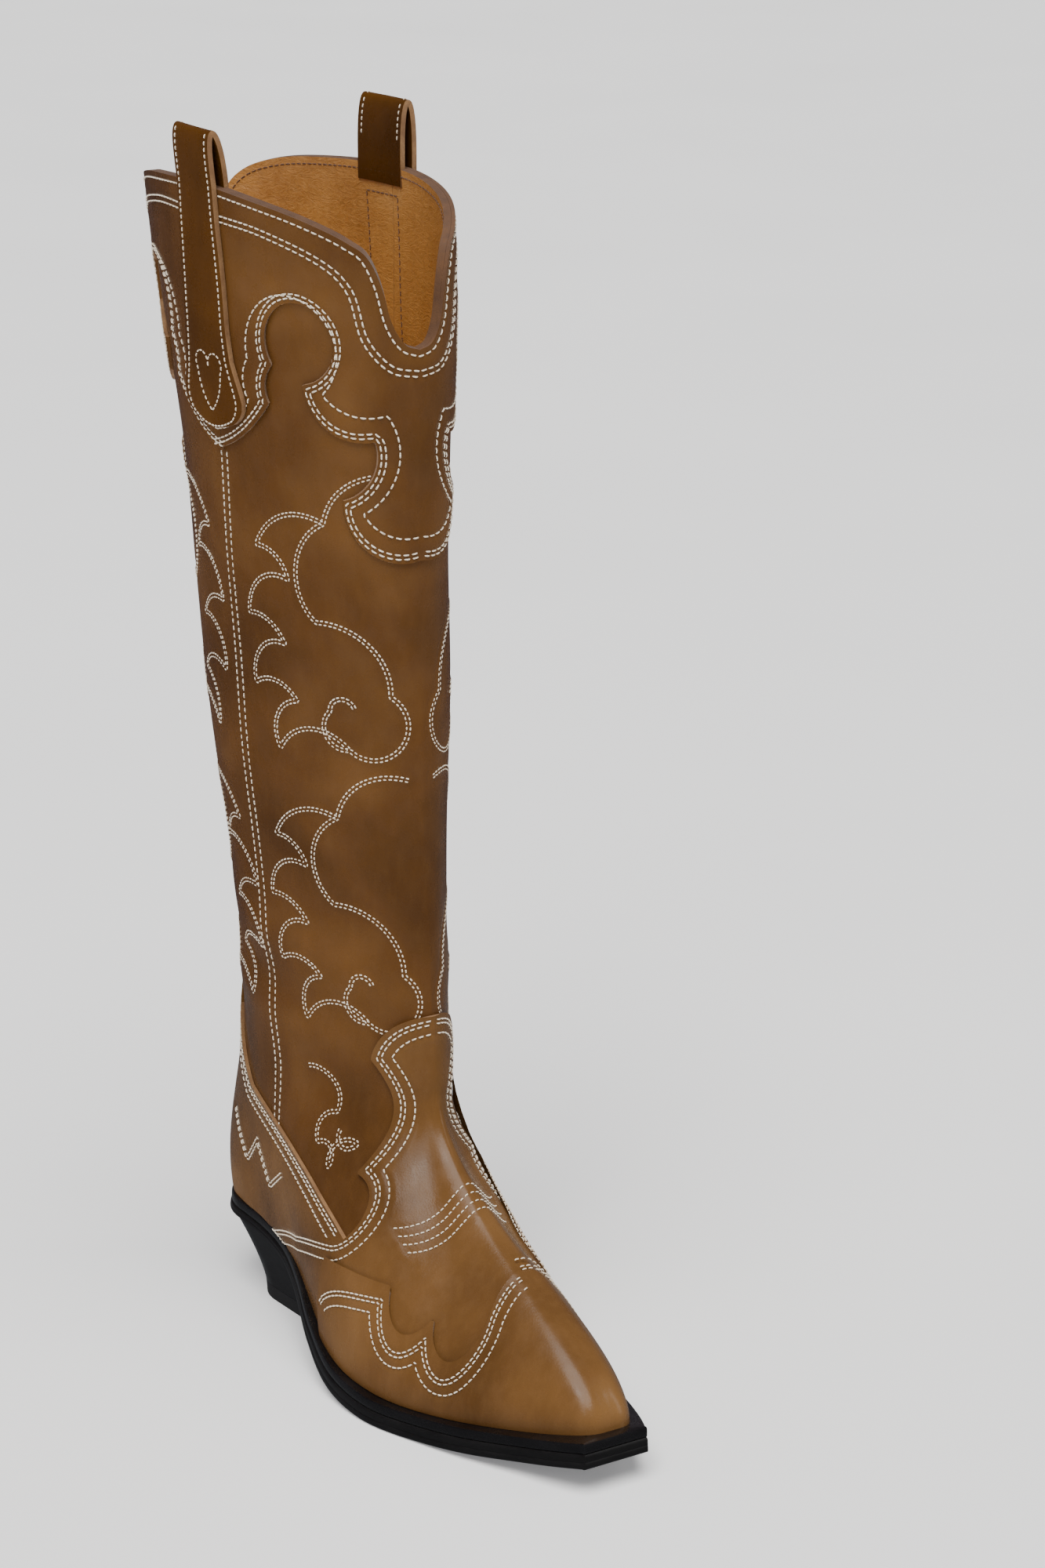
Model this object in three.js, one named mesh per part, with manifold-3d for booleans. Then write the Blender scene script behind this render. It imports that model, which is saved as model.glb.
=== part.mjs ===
// Knee-high western boot, right foot, unfolded upright. Millimetres, +Z up, sole contact plane at z = 0,
// toe towards -Y, outer (lateral) side towards -X. The origin lies under the ankle axis.
import * as THREE from 'three';
import { mergeVertices } from 'three/addons/utils/BufferGeometryUtils.js';
import Module from 'manifold-3d';

const wasm = await Module();
wasm.setup();
const { Manifold, Mesh: SolidMesh } = wasm;

// ---------------------------------------------------------------- driving dimensions
const GAP = 0.3;                      // clearance kept between touching pieces
const SEAT_GAP = 0.6;                 // clearance of the upper's lower edge over the curved welt
const ANKLE_Z = 122;                  // height of the ring where the foot blends into the shaft
const LEATHER = 1.8;                  // shaft leather thickness
const OVERLAY = 1.4;                  // stitched-on leather thickness
const LINING = 1.2;                   // calf lining thickness
const WELT_T = 4.5;                   // welt thickness
const OUTSOLE_T = 6.5;                // outsole thickness
const TOP_LIFT_T = 6;                 // rubber top lift under the heel
const STRAP_W = 30;                   // pull strap width
const STRAP_T = 2.2;                  // pull strap thickness
const STRAP_RISE = 25;                // strap loop height above the top edge
const HEEL_BREAST_Y = -9;             // front face of the heel
const SNIP_Y = -200;                  // squared toe end
const HEEL_Y = 85;                    // back of the sole

// Shaft cross-sections: height, half width, widest station, front and back line, side lean, front roundness
const SHAFT = [
  { z: 120, half: 33.5, mid: 17.5, front: -58, back: 74.5, lean: 2, round: 1.35 },
  { z: 150, half: 35, mid: 19, front: -56, back: 72.5, lean: 2, round: 1.35 },
  { z: 200, half: 38, mid: 21, front: -53.5, back: 78.5, lean: 1.5, round: 1.3 },
  { z: 260, half: 40.3, mid: 20, front: -55, back: 83.5, lean: -1.5, round: 1.2 },
  { z: 330, half: 42, mid: 18, front: -59, back: 91, lean: -5, round: 1.1 },
  { z: 400, half: 43, mid: 14, front: -66, back: 99, lean: -9, round: 1 },
  { z: 470, half: 43.5, mid: 10, front: -72, back: 110, lean: -13, round: 1 },
  { z: 530, half: 43.5, mid: 8, front: -76, back: 118, lean: -16, round: 1 },
];

// Foot stations around the feather line, by turning angle from the toe (0) to the heel (180):
// outer and inner plan points, first handle rise and swell, second handle drop and forward sweep
const FOOT = [
  { a: 0, outer: [-1.5, -189], inner: [-1.5, -189], rise: 32, swell: 0, drop: 50, sweep: [0, 0] },
  { a: 4, outer: [-9, -187.5], inner: [6.5, -187.5], rise: 32, swell: 0, drop: 50, sweep: [0, -2] },
  { a: 8, outer: [-17, -176], inner: [13.5, -176], rise: 31, swell: 2, drop: 50, sweep: [0, -5] },
  { a: 14, outer: [-27, -155], inner: [22, -155], rise: 29, swell: 3, drop: 49, sweep: [-1, -8] },
  { a: 22, outer: [-37.5, -130], inner: [29, -130], rise: 29, swell: 3.5, drop: 46, sweep: [0, -9] },
  { a: 32, outer: [-45.5, -105], inner: [35, -106], rise: 32, swell: 4, drop: 40, sweep: [1, -8] },
  { a: 45, outer: [-49, -78], inner: [36, -80], rise: 36, swell: 4, drop: 32, sweep: [1, -5] },
  { a: 60, outer: [-46.5, -52], inner: [30.5, -54], rise: 38, swell: 4, drop: 26, sweep: [1, -1] },
  { a: 75, outer: [-40, -28], inner: [26.5, -29], rise: 38, swell: 4, drop: 23, sweep: [0, 0] },
  { a: 90, outer: [-33.5, -5], inner: [25.5, -5], rise: 36, swell: 4, drop: 22, sweep: [0, 0] },
  { a: 105, outer: [-29.5, 16], inner: [27, 16], rise: 35, swell: 4, drop: 22, sweep: [0, 0] },
  { a: 120, outer: [-26.5, 36], inner: [29.5, 36], rise: 33, swell: 4.5, drop: 22, sweep: [0, 0] },
  { a: 135, outer: [-25, 53], inner: [30, 53], rise: 32, swell: 5, drop: 22, sweep: [0, 0] },
  { a: 150, outer: [-21.3, 67.8], inner: [26.3, 67.8], rise: 32, swell: 5, drop: 22, sweep: [0, 0] },
  { a: 165, outer: [-11.3, 78.5], inner: [16.3, 78.5], rise: 32, swell: 5.5, drop: 22, sweep: [0, 0] },
  { a: 180, outer: [2.5, 82.5], inner: [2.5, 82.5], rise: 32, swell: 6, drop: 22, sweep: [0, 0] },
];

// Height of the welt's upper face along the foot: toe spring, flat tread, waist rise, heel seat
const SEAT = [
  { y: -200, z: 22.5 }, { y: -170, z: 17 }, { y: -140, z: 13 }, { y: -115, z: 11.3 },
  { y: -90, z: 11.3 }, { y: -60, z: 15 }, { y: -35, z: 23 }, { y: -10, z: 33 },
  { y: 10, z: 38 }, { y: 40, z: 40.5 }, { y: 86, z: 41.5 },
];

// Outsole outline: half widths either side of x = 0 along the foot
const SOLE = [
  { y: -200, outer: 19.4, inner: 10.7 }, { y: -188, outer: 24.5, inner: 17 },
  { y: -170, outer: 31, inner: 25 }, { y: -145, outer: 41, inner: 34.3 },
  { y: -120, outer: 49, inner: 43 }, { y: -95, outer: 55.5, inner: 44 },
  { y: -65, outer: 55.5, inner: 36 }, { y: -35, outer: 48, inner: 30 },
  { y: -10, outer: 39, inner: 28.5 }, { y: 10, outer: 33, inner: 30.5 },
  { y: 35, outer: 29, inner: 33.5 }, { y: 54, outer: 28, inner: 34 },
];

// Top edge of the shaft by turning angle: front dip, side peaks, back dip
const TOP_EDGE = [
  { a: 0, z: 437 }, { a: 8, z: 440 }, { a: 14, z: 449 }, { a: 18, z: 462 }, { a: 24, z: 474 }, { a: 32, z: 480 },
  { a: 45, z: 486 }, { a: 60, z: 490.5 }, { a: 90, z: 494.5 }, { a: 120, z: 492.5 }, { a: 135, z: 489.5 },
  { a: 148, z: 484 }, { a: 156, z: 477 }, { a: 162, z: 467 }, { a: 166, z: 459 }, { a: 172, z: 454 }, { a: 180, z: 452 },
];

const COLOURS = {
  leather: { color: 0x6b4a22, roughness: 0.32, metalness: 0 },
  leatherDark: { color: 0x5a3d1c, roughness: 0.34, metalness: 0 },
  lining: { color: 0xb98440, roughness: 0.6, metalness: 0 },
  sole: { color: 0x141312, roughness: 0.42, metalness: 0 },
  rubber: { color: 0x1a1918, roughness: 0.7, metalness: 0 },
  board: { color: 0x9a8464, roughness: 0.85, metalness: 0 },
  cork: { color: 0xa87b4a, roughness: 0.95, metalness: 0 },
  foam: { color: 0xd8cfc0, roughness: 0.95, metalness: 0 },
  stiffener: { color: 0xcfc2a6, roughness: 0.8, metalness: 0 },
  tape: { color: 0xc9b48a, roughness: 0.85, metalness: 0 },
  steel: { color: 0x9a9ca0, roughness: 0.35, metalness: 1 },
};

// ---------------------------------------------------------------- small maths
const rad = THREE.MathUtils.degToRad;

// Smooth value at x through a list of stations, using the key for the station and a picker for the value
function along(list, key, pick, x) {
  const n = list.length;
  const t = Math.min(Math.max(x, list[0][key]), list[n - 1][key]);
  let i = 0;
  while (i < n - 2 && t > list[i + 1][key]) i++;
  const slope = (k) => (pick(list[k + 1]) - pick(list[k])) / (list[k + 1][key] - list[k][key]);
  const tangent = (k) => {
    if (k === 0) return slope(0);
    if (k === n - 1) return slope(n - 2);
    return (slope(k - 1) + slope(k)) / 2;
  };
  const h = list[i + 1][key] - list[i][key];
  const s = (t - list[i][key]) / h;
  const s2 = s * s;
  const s3 = s2 * s;
  return pick(list[i]) * (2 * s3 - 3 * s2 + 1) + h * tangent(i) * (s3 - 2 * s2 + s)
    + pick(list[i + 1]) * (3 * s2 - 2 * s3) + h * tangent(i + 1) * (s3 - s2);
}

const seatZ = (y) => along(SEAT, 'y', (s) => s.z, y);
const topZ = (deg) => along(TOP_EDGE, 'a', (s) => s.z, Math.abs(deg));

// Point on the shaft's outer leather face; deg > 0 is the outer (lateral) half
function shaftPoint(z, deg) {
  const at = (pick) => along(SHAFT, 'z', pick, z);
  const s = Math.sin(rad(deg));
  const c = Math.cos(rad(deg));
  const mid = at((k) => k.mid);
  const power = c > 0 ? at((k) => k.round) : 1;
  const reach = c > 0 ? mid - at((k) => k.front) : at((k) => k.back) - mid;
  const x = at((k) => k.lean) - at((k) => k.half) * Math.sign(s) * Math.abs(s) ** power;
  return new THREE.Vector3(x, mid - reach * c, z);
}

// Point on the feather line, where the upper meets the welt
function featherPoint(deg) {
  const side = deg >= 0 ? 'outer' : 'inner';
  const a = Math.abs(deg);
  const x = along(FOOT, 'a', (k) => k[side][0], a);
  const y = along(FOOT, 'a', (k) => k[side][1], a);
  return new THREE.Vector3(x, y, seatZ(y) + SEAT_GAP);
}

// Point on the foot's outer face: t runs from the feather line (0) to the ankle ring (1)
function footPoint(t, deg) {
  const a = Math.abs(deg);
  const low = featherPoint(deg);
  const high = shaftPoint(ANKLE_Z, deg);
  const pull = shaftPoint(ANKLE_Z + 5, deg).sub(high).divideScalar(5);
  const ahead = featherPoint(Math.min(deg + 0.5, 180));
  const behind = featherPoint(Math.max(deg - 0.5, -180));
  const outward = new THREE.Vector3(behind.y - ahead.y, ahead.x - behind.x, 0).normalize();
  if (outward.x * low.x + outward.y * (Math.abs(low.y) > 60 ? low.y : 0) < 0) outward.negate();
  const swell = along(FOOT, 'a', (k) => k.swell, a);
  const first = low.clone();
  first.x += outward.x * swell;
  first.y += outward.y * swell * 0.6 + (a < 20 ? 3 : 0);
  first.z += along(FOOT, 'a', (k) => k.rise, a);
  const second = high.clone().addScaledVector(pull, -along(FOOT, 'a', (k) => k.drop, a));
  second.y -= along(FOOT, 'a', (k) => k.sweep[deg >= 0 ? 0 : 1], a);
  return new THREE.CubicBezierCurve3(low, first, second, high).getPoint(t);
}

// Point of the whole upper: v from 0 (feather) to 1 (ankle ring) to 2 (top edge)
function upperPoint(v, deg) {
  if (v <= 1) return footPoint(v, deg);
  return shaftPoint(ANKLE_Z + (v - 1) * (topZ(deg) - ANKLE_Z), deg);
}

// ---------------------------------------------------------------- solids
function geometryFrom(points, faces) {
  const geometry = new THREE.BufferGeometry();
  geometry.setAttribute('position', new THREE.Float32BufferAttribute(points.flatMap((p) => [p.x, p.y, p.z]), 3));
  geometry.setIndex(faces.flat());
  return geometry;
}

function solidFrom(geometry) {
  const bare = geometry.clone();
  bare.deleteAttribute('normal');
  bare.deleteAttribute('uv');
  const merged = mergeVertices(bare, 1e-4);
  return new Manifold(new SolidMesh({
    numProp: 3,
    vertProperties: new Float32Array(merged.attributes.position.array),
    triVerts: new Uint32Array(merged.index.array),
  }));
}

function geometryOf(solid) {
  const mesh = solid.getMesh();
  const geometry = new THREE.BufferGeometry();
  geometry.setAttribute('position', new THREE.BufferAttribute(new Float32Array(mesh.vertProperties), 3));
  geometry.setIndex(new THREE.BufferAttribute(new Uint32Array(mesh.triVerts), 1));
  return geometry;
}

// Angles used around the upper: even steps with extra ones near the pointed toe
const ANGLES = [0, 4, 9, 14, 18, 24, 32, 42, 54, 66, 78, 90, 102, 114, 126, 138, 148, 156, 164, 172, 180];
const RING = [...ANGLES, ...ANGLES.slice(1, -1).reverse().map((a) => -a)];
const FOOT_STEPS = [0, 0.09, 0.2, 0.32, 0.45, 0.58, 0.7, 0.82, 0.92, 1];
const SHAFT_STEPS = [1.07, 1.15, 1.25, 1.36, 1.48, 1.6, 1.72, 1.83, 1.92, 2];

// Outward directions on the ring grid, so that every layer is an exact offset of the same facets
function ringGrid(steps) {
  const grid = steps.map((v) => RING.map((deg) => upperPoint(v, deg)));
  const count = RING.length;
  const normals = grid.map((row, i) => row.map((p, j) => {
    const up = grid[Math.min(i + 1, grid.length - 1)][j].clone().sub(grid[Math.max(i - 1, 0)][j]);
    const turn = row[(j + 1) % count].clone().sub(row[(j + count - 1) % count]);
    return turn.cross(up).normalize().negate();
  }));
  return { grid, normals };
}

// Closed shell between two offsets of the upper's surface
function shell(steps, inside, outside) {
  const { grid, normals } = ringGrid(steps);
  const rows = grid.length;
  const count = RING.length;
  const offset = (d) => grid.flatMap((row, i) => row.map((p, j) => {
    const q = p.clone().addScaledVector(normals[i][j], d);
    if (i === 0) q.z = p.z;
    return q;
  }));
  const points = [...offset(outside), ...offset(inside)];
  const id = (layer, i, j) => layer * rows * count + i * count + (j % count);
  const faces = [];
  for (let j = 0; j < count; j++) {
    for (let i = 0; i < rows - 1; i++) {
      faces.push([id(0, i, j), id(0, i + 1, j), id(0, i + 1, j + 1)]);
      faces.push([id(0, i, j), id(0, i + 1, j + 1), id(0, i, j + 1)]);
      faces.push([id(1, i, j), id(1, i + 1, j + 1), id(1, i + 1, j)]);
      faces.push([id(1, i, j), id(1, i, j + 1), id(1, i + 1, j + 1)]);
    }
    faces.push([id(0, 0, j), id(0, 0, j + 1), id(1, 0, j + 1)]);
    faces.push([id(0, 0, j), id(1, 0, j + 1), id(1, 0, j)]);
    const last = rows - 1;
    faces.push([id(0, last, j), id(1, last, j + 1), id(0, last, j + 1)]);
    faces.push([id(0, last, j), id(1, last, j), id(1, last, j + 1)]);
  }
  return solidFrom(geometryFrom(points, faces));
}

// Prism with a side-view outline (y, z pairs), running across the whole boot or one side of it
function sideCutter(outline, xFrom = -150, xTo = 150) {
  const shape = new THREE.Shape(outline.map(([y, z]) => new THREE.Vector2(y, z)));
  const geometry = new THREE.ExtrudeGeometry(shape, { depth: xTo - xFrom, bevelEnabled: false });
  geometry.applyMatrix4(new THREE.Matrix4().makeBasis(
    new THREE.Vector3(0, 1, 0), new THREE.Vector3(0, 0, 1), new THREE.Vector3(1, 0, 0)));
  geometry.translate(xFrom, 0, 0);
  return solidFrom(geometry);
}

// Prism with a plan outline (x, y pairs), running up and down
function planCutter(outline, zFrom = -20, zTo = 120) {
  const shape = new THREE.Shape(outline.map(([x, y]) => new THREE.Vector2(x, y)));
  const geometry = new THREE.ExtrudeGeometry(shape, { depth: zTo - zFrom, bevelEnabled: false });
  geometry.translate(0, 0, zFrom);
  return solidFrom(geometry);
}

// Largest piece of a cut, without the slivers a cut can leave behind
function largest(solid) {
  return solid.decompose().sort((a, b) => b.volume() - a.volume())[0];
}

const group = new THREE.Group();

function add(name, solid, look) {
  const mesh = new THREE.Mesh(geometryOf(largest(solid)), new THREE.MeshStandardMaterial(COLOURS[look]));
  mesh.name = name;
  group.add(mesh);
}

// Outline pushed outwards by d (outline runs either way round)
function grow(outline, d) {
  const n = outline.length;
  const area = outline.reduce((sum, [x, y], i) => {
    const [u, v] = outline[(i + 1) % n];
    return sum + x * v - u * y;
  }, 0);
  const sign = area > 0 ? 1 : -1;
  return outline.map(([x, y], i) => {
    const [px, py] = outline[(i + n - 1) % n];
    const [nx, ny] = outline[(i + 1) % n];
    const a = new THREE.Vector2(x - px, y - py).normalize();
    const b = new THREE.Vector2(nx - x, ny - y).normalize();
    const m = new THREE.Vector2(a.y + b.y, -a.x - b.x).normalize();
    const k = Math.min(1 / Math.max(m.x * a.y - m.y * a.x, 0.35), 2.5);
    return [x + sign * m.x * d * k, y + sign * m.y * d * k];
  });
}

// Prism through the shaft wall whose outline is given as (turning angle, height) pairs
function wallCutter(outline) {
  const contour = outline.map(([a, z]) => new THREE.Vector2(a, z));
  if (THREE.ShapeUtils.isClockWise(contour)) contour.reverse();
  const caps = THREE.ShapeUtils.triangulateShape(contour, []);
  const n = contour.length;
  const place = (p, k) => {
    const wall = shaftPoint(Math.min(p.y, 520), p.x);
    const axis = new THREE.Vector3(-8, 18, 0);
    return new THREE.Vector3(axis.x + (wall.x - axis.x) * k, axis.y + (wall.y - axis.y) * k, p.y);
  };
  const points = [...contour.map((p) => place(p, 3)), ...contour.map((p) => place(p, 0.3))];
  const faces = [];
  for (const [a, b, c] of caps) {
    faces.push([a, c, b]);
    faces.push([a + n, b + n, c + n]);
  }
  for (let i = 0; i < n; i++) {
    const j = (i + 1) % n;
    faces.push([i, j, j + n]);
    faces.push([i, j + n, i + n]);
  }
  const solid = solidFrom(geometryFrom(points, faces));
  return solid.volume() >= 0 ? solid : solidFrom(geometryFrom(points, faces.map(([a, b, c]) => [a, c, b])));
}

// Loft through levels; a level is a list of stations { y, left, right, z } running from toe to heel
function loft(levels) {
  const points = [];
  const n = levels[0].length;
  for (const level of levels) {
    for (const s of level) points.push(new THREE.Vector3(s.left, s.y, s.z));
    for (const s of level) points.push(new THREE.Vector3(s.right, s.y, s.z));
  }
  const id = (k, side, i) => k * 2 * n + side * n + i;
  const top = levels.length - 1;
  const faces = [];
  for (let i = 0; i < n - 1; i++) {
    faces.push([id(0, 0, i), id(0, 0, i + 1), id(0, 1, i + 1)]);
    faces.push([id(0, 0, i), id(0, 1, i + 1), id(0, 1, i)]);
    faces.push([id(top, 0, i), id(top, 1, i + 1), id(top, 0, i + 1)]);
    faces.push([id(top, 0, i), id(top, 1, i), id(top, 1, i + 1)]);
    for (let k = 0; k < top; k++) {
      faces.push([id(k, 0, i), id(k + 1, 0, i), id(k + 1, 0, i + 1)]);
      faces.push([id(k, 0, i), id(k + 1, 0, i + 1), id(k, 0, i + 1)]);
      faces.push([id(k, 1, i), id(k + 1, 1, i + 1), id(k + 1, 1, i)]);
      faces.push([id(k, 1, i), id(k, 1, i + 1), id(k + 1, 1, i + 1)]);
    }
  }
  for (let k = 0; k < top; k++) {
    faces.push([id(k, 0, 0), id(k, 1, 0), id(k + 1, 1, 0)]);
    faces.push([id(k, 0, 0), id(k + 1, 1, 0), id(k + 1, 0, 0)]);
    faces.push([id(k, 0, n - 1), id(k + 1, 1, n - 1), id(k, 1, n - 1)]);
    faces.push([id(k, 0, n - 1), id(k + 1, 0, n - 1), id(k + 1, 1, n - 1)]);
  }
  const solid = solidFrom(geometryFrom(points, faces));
  return solid.volume() >= 0 ? solid : solidFrom(geometryFrom(points, faces.map(([a, b, c]) => [a, c, b])));
}

// Sole stations: forward of the heel arc the widths follow the outline list, behind it a circular arc
const HEEL_ARC = { x: 3, y: 54, r: 31 };
const SOLE_YS = [
  -200, -194, -186, -172, -156, -138, -115, -102, -90, -80, -70, -60, -50, -40, -30, -20, -10, 0, 10, 22, 36, 54,
];
const HEEL_ANGLES = [15, 30, 45, 58, 70, 80, 87];

function soleStation(y, inset, z) {
  const outer = along(SOLE, 'y', (s) => s.outer, y);
  const inner = along(SOLE, 'y', (s) => s.inner, y);
  return { y: Math.max(y, SNIP_Y + inset), left: -outer + inset, right: inner - inset, z };
}

function heelStation(angle, inset, z) {
  const r = HEEL_ARC.r - inset;
  const w = r * Math.cos(rad(angle));
  return { y: HEEL_ARC.y + r * Math.sin(rad(angle)), left: HEEL_ARC.x - w, right: HEEL_ARC.x + w, z };
}

// One level of the sole between two stations of the foot, at the height given by zAt(y)
function soleLevel(inset, zAt, from = SNIP_Y, to = HEEL_Y) {
  const front = SOLE_YS.filter((y) => y > from && y <= Math.min(to, 54)).map((y) => soleStation(y, inset, 0));
  const level = [soleStation(from, inset, 0), ...front];
  if (to >= HEEL_Y) level.push(...HEEL_ANGLES.map((a) => heelStation(a, inset, 0)));
  else level.push(soleStation(to, inset, 0));
  return level.map((s) => ({ ...s, z: zAt(s.y) }));
}

const weltLow = (y) => seatZ(y) - WELT_T;
const outsoleHigh = (y) => weltLow(y) - GAP;
const outsoleThick = (y) => THREE.MathUtils.lerp(OUTSOLE_T, 3.5, THREE.MathUtils.smoothstep(y, -50, 5));
const outsoleLow = (y) => Math.max(0, outsoleHigh(y) - outsoleThick(y));

function rod(x, y, zFrom, zTo, radius) {
  const geometry = new THREE.CylinderGeometry(radius, radius, zTo - zFrom, 10);
  geometry.rotateX(Math.PI / 2);
  geometry.translate(x, y, (zFrom + zTo) / 2);
  return solidFrom(geometry);
}

// ---------------------------------------------------------------- bottom: sole, heel, fillings
const HEEL_TOP_FROM = 2;
const heelBottomHalf = 25;
const liftHigh = TOP_LIFT_T;

// Heel stations in plan: k from 0 (breast) to 1 (back), level from 0 (ground) to 1 (seat)
function heelLevel(level, z) {
  const ease = level ** 1.5;
  const steps = [0, 0.2, 0.42, 0.62, 0.76, 0.87, 0.95, 0.99];
  const yFront = THREE.MathUtils.lerp(HEEL_BREAST_Y, HEEL_TOP_FROM, level);
  const yBack = THREE.MathUtils.lerp(60, HEEL_Y - 1.5, ease);
  const half = THREE.MathUtils.lerp(heelBottomHalf, 29.3, ease);
  return steps.map((k) => {
    const y = yFront + (yBack - yFront) * k;
    const t = Math.max(0, (y - (yBack - half)) / half);
    const w = half * Math.sqrt(Math.max(1 - t * t, 0.004));
    return { y, left: HEEL_ARC.x - w, right: HEEL_ARC.x + w, z: typeof z === 'function' ? z(y) : z };
  });
}

const fasteners = [
  { name: 'heel_screw', x: 3, y: 32, r: 2.2, low: 12 },
  { name: 'heel_nail_1', x: -10, y: 18, r: 1, low: 14 },
  { name: 'heel_nail_2', x: 12, y: 18, r: 1, low: 14 },
  { name: 'heel_nail_3', x: -7, y: 48, r: 1, low: 14 },
  { name: 'heel_nail_4', x: 13, y: 48, r: 1, low: 14 },
];
const drilled = (solid) => fasteners.reduce(
  (s, f) => s.subtract(rod(f.x, f.y, f.low - GAP, 60, f.r + GAP)), solid);

const outsole = loft([
  soleLevel(0.3, outsoleLow),
  soleLevel(0.8, outsoleHigh),
]);
add('outsole', drilled(outsole), 'sole');

const weltInset = 2;
const fillerInset = 15;
const weltBody = loft([soleLevel(weltInset, weltLow), soleLevel(weltInset, seatZ)]);
const fillerFrom = -182;
const window = loft([
  soleLevel(fillerInset - GAP, (y) => weltLow(y) - 3, fillerFrom, HEEL_Y),
  soleLevel(fillerInset - GAP, (y) => seatZ(y) + 3, fillerFrom, HEEL_Y),
]);
const windowed = weltBody.subtract(window);
add('welt', windowed, 'sole');

const SHANK = { from: -62, to: 62, half: 7, thick: 1.8 };
const shankAt = (pad) => loft([0, 1].map((k) => [-62, -45, -30, -15, 0, 18, 36, 54, 62].map((y) => ({
  y: y === SHANK.from ? y - pad : y === SHANK.to ? y + pad : y,
  left: 1 - SHANK.half - pad,
  right: 1 + SHANK.half + pad,
  z: seatZ(y) - GAP - SHANK.thick + k * (SHANK.thick + (pad > 0 ? 5 : 0)) - (k ? 0 : pad),
}))));
const filler = loft([
  soleLevel(fillerInset, (y) => weltLow(y), fillerFrom + 1, HEEL_Y),
  soleLevel(fillerInset, (y) => seatZ(y) - GAP, fillerFrom + 1, HEEL_Y),
]);
const rivets = [{ name: 'shank_rivet_front', y: -50 }, { name: 'shank_rivet_back', y: 6 }];
const holed = (solid) => rivets.reduce(
  (s, f) => s.subtract(rod(1, f.y, seatZ(f.y) - 12, seatZ(f.y) + 6, 1.4 + GAP)), solid);
add('cork_filler', drilled(holed(filler.subtract(shankAt(GAP)))), 'cork');
const shankHoled = holed(shankAt(0)).subtract(rod(3, 32, 0, 60, 2.2 + GAP));
add('steel_shank', shankHoled, 'steel');
for (const f of rivets) {
  add(f.name, rod(1, f.y, weltLow(f.y) + GAP, seatZ(f.y) - GAP, 1.4), 'steel');
}

const heelHigh = (y) => outsoleLow(y) - GAP;
add('heel_block', drilled(loft([
  heelLevel(0.12, liftHigh + GAP),
  heelLevel(0.45, 16),
  heelLevel(1, heelHigh),
])), 'sole');
add('heel_top_lift', loft([heelLevel(0, 0), heelLevel(0.1, liftHigh)]), 'rubber');
for (const f of fasteners) {
  add(f.name, rod(f.x, f.y, f.low, seatZ(f.y) - GAP - (f.r > 2 ? 0 : 0.2), f.r), 'steel');
}

// ---------------------------------------------------------------- upper: layers and outlines
const ALL = [...FOOT_STEPS, ...SHAFT_STEPS];
const BIG = 600;

// Outline through corners; a third number is how far the arc that leads to the corner rises to the left of its chord
function arcs(corners, step = 7) {
  const outline = [corners[0].slice(0, 2)];
  for (let i = 1; i < corners.length; i++) {
    const [px, py] = corners[i - 1];
    const [qx, qy, rise = 0] = corners[i];
    if (rise === 0) {
      outline.push([qx, qy]);
      continue;
    }
    const half = Math.hypot(qx - px, qy - py) / 2;
    const ux = (qx - px) / (2 * half);
    const uy = (qy - py) / (2 * half);
    const radius = (half * half + rise * rise) / (2 * rise);
    const turn = 2 * Math.atan(rise / half);
    const count = Math.max(2, Math.round(2 * turn * radius / step));
    for (let k = 1; k <= count; k++) {
      const a = turn * (2 * k / count - 1);
      const ahead = radius * Math.sin(a);
      const left = radius * Math.cos(a) - radius + rise;
      outline.push([(px + qx) / 2 + ux * ahead - uy * left, (py + qy) / 2 + uy * ahead + ux * left]);
    }
  }
  return outline;
}

// Vamp with its tongue and the wings that run back along the sole (side view)
const VAMP_EDGE = arcs([
  [-215, 170], [-62, 158], [-40, 134, 5], [-46, 88, -7], [-46, 60, -12], [36, 44], [36, -20], [-215, -20],
]);

// Heel counter cover with its pointed tab up the back (side view)
const COUNTER_EDGE = arcs([
  [-62, 60], [0, 78], [45, 102, 2], [70, 148, -4], [78, 151], [120, 151], [120, -20], [-62, -20],
]);

// Toe overlay (plan, half outline as distance from the toe axis and y, from the instep to the side)
const WING_HALF = arcs([
  [0, -127], [16, -130], [31, -110, -12], [38, -86, -8], [46, -38, -4], [60, -26], [90, -26], [90, -215], [0, -215],
]);
const TOE_AXIS = -1.5;
const wingOutline = [
  ...WING_HALF.map(([w, y]) => [TOE_AXIS - w, y]),
  ...WING_HALF.slice(1, -1).reverse().map(([w, y]) => [TOE_AXIS + w, y]),
];

// Lower edge of the shaft collar (turning angle, height) from the side seam to the front centre
const COLLAR_EDGE = arcs([
  [90, 384], [70, 410, 4], [67, 427, -3], [50, 421, -31], [21, 397, 8], [31, 372, -6], [0, 348, 10],
]);
const collarQuarter = (map) => wallCutter([
  [map(90.6), 384], ...COLLAR_EDGE.map(([a, z]) => [map(a), z]), [map(-0.6), 348],
  [map(-0.6), 560], [map(45), 560], [map(90.6), 560],
]);

const inner = shell(ALL, -LEATHER - GAP - LINING, -LEATHER - GAP);
const middle = shell(ALL, -LEATHER, 0);
const cover = shell(ALL, GAP, GAP + OVERLAY);
const topCover = shell(FOOT_STEPS, 2 * GAP + OVERLAY, 2 * GAP + 2 * OVERLAY);

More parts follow.
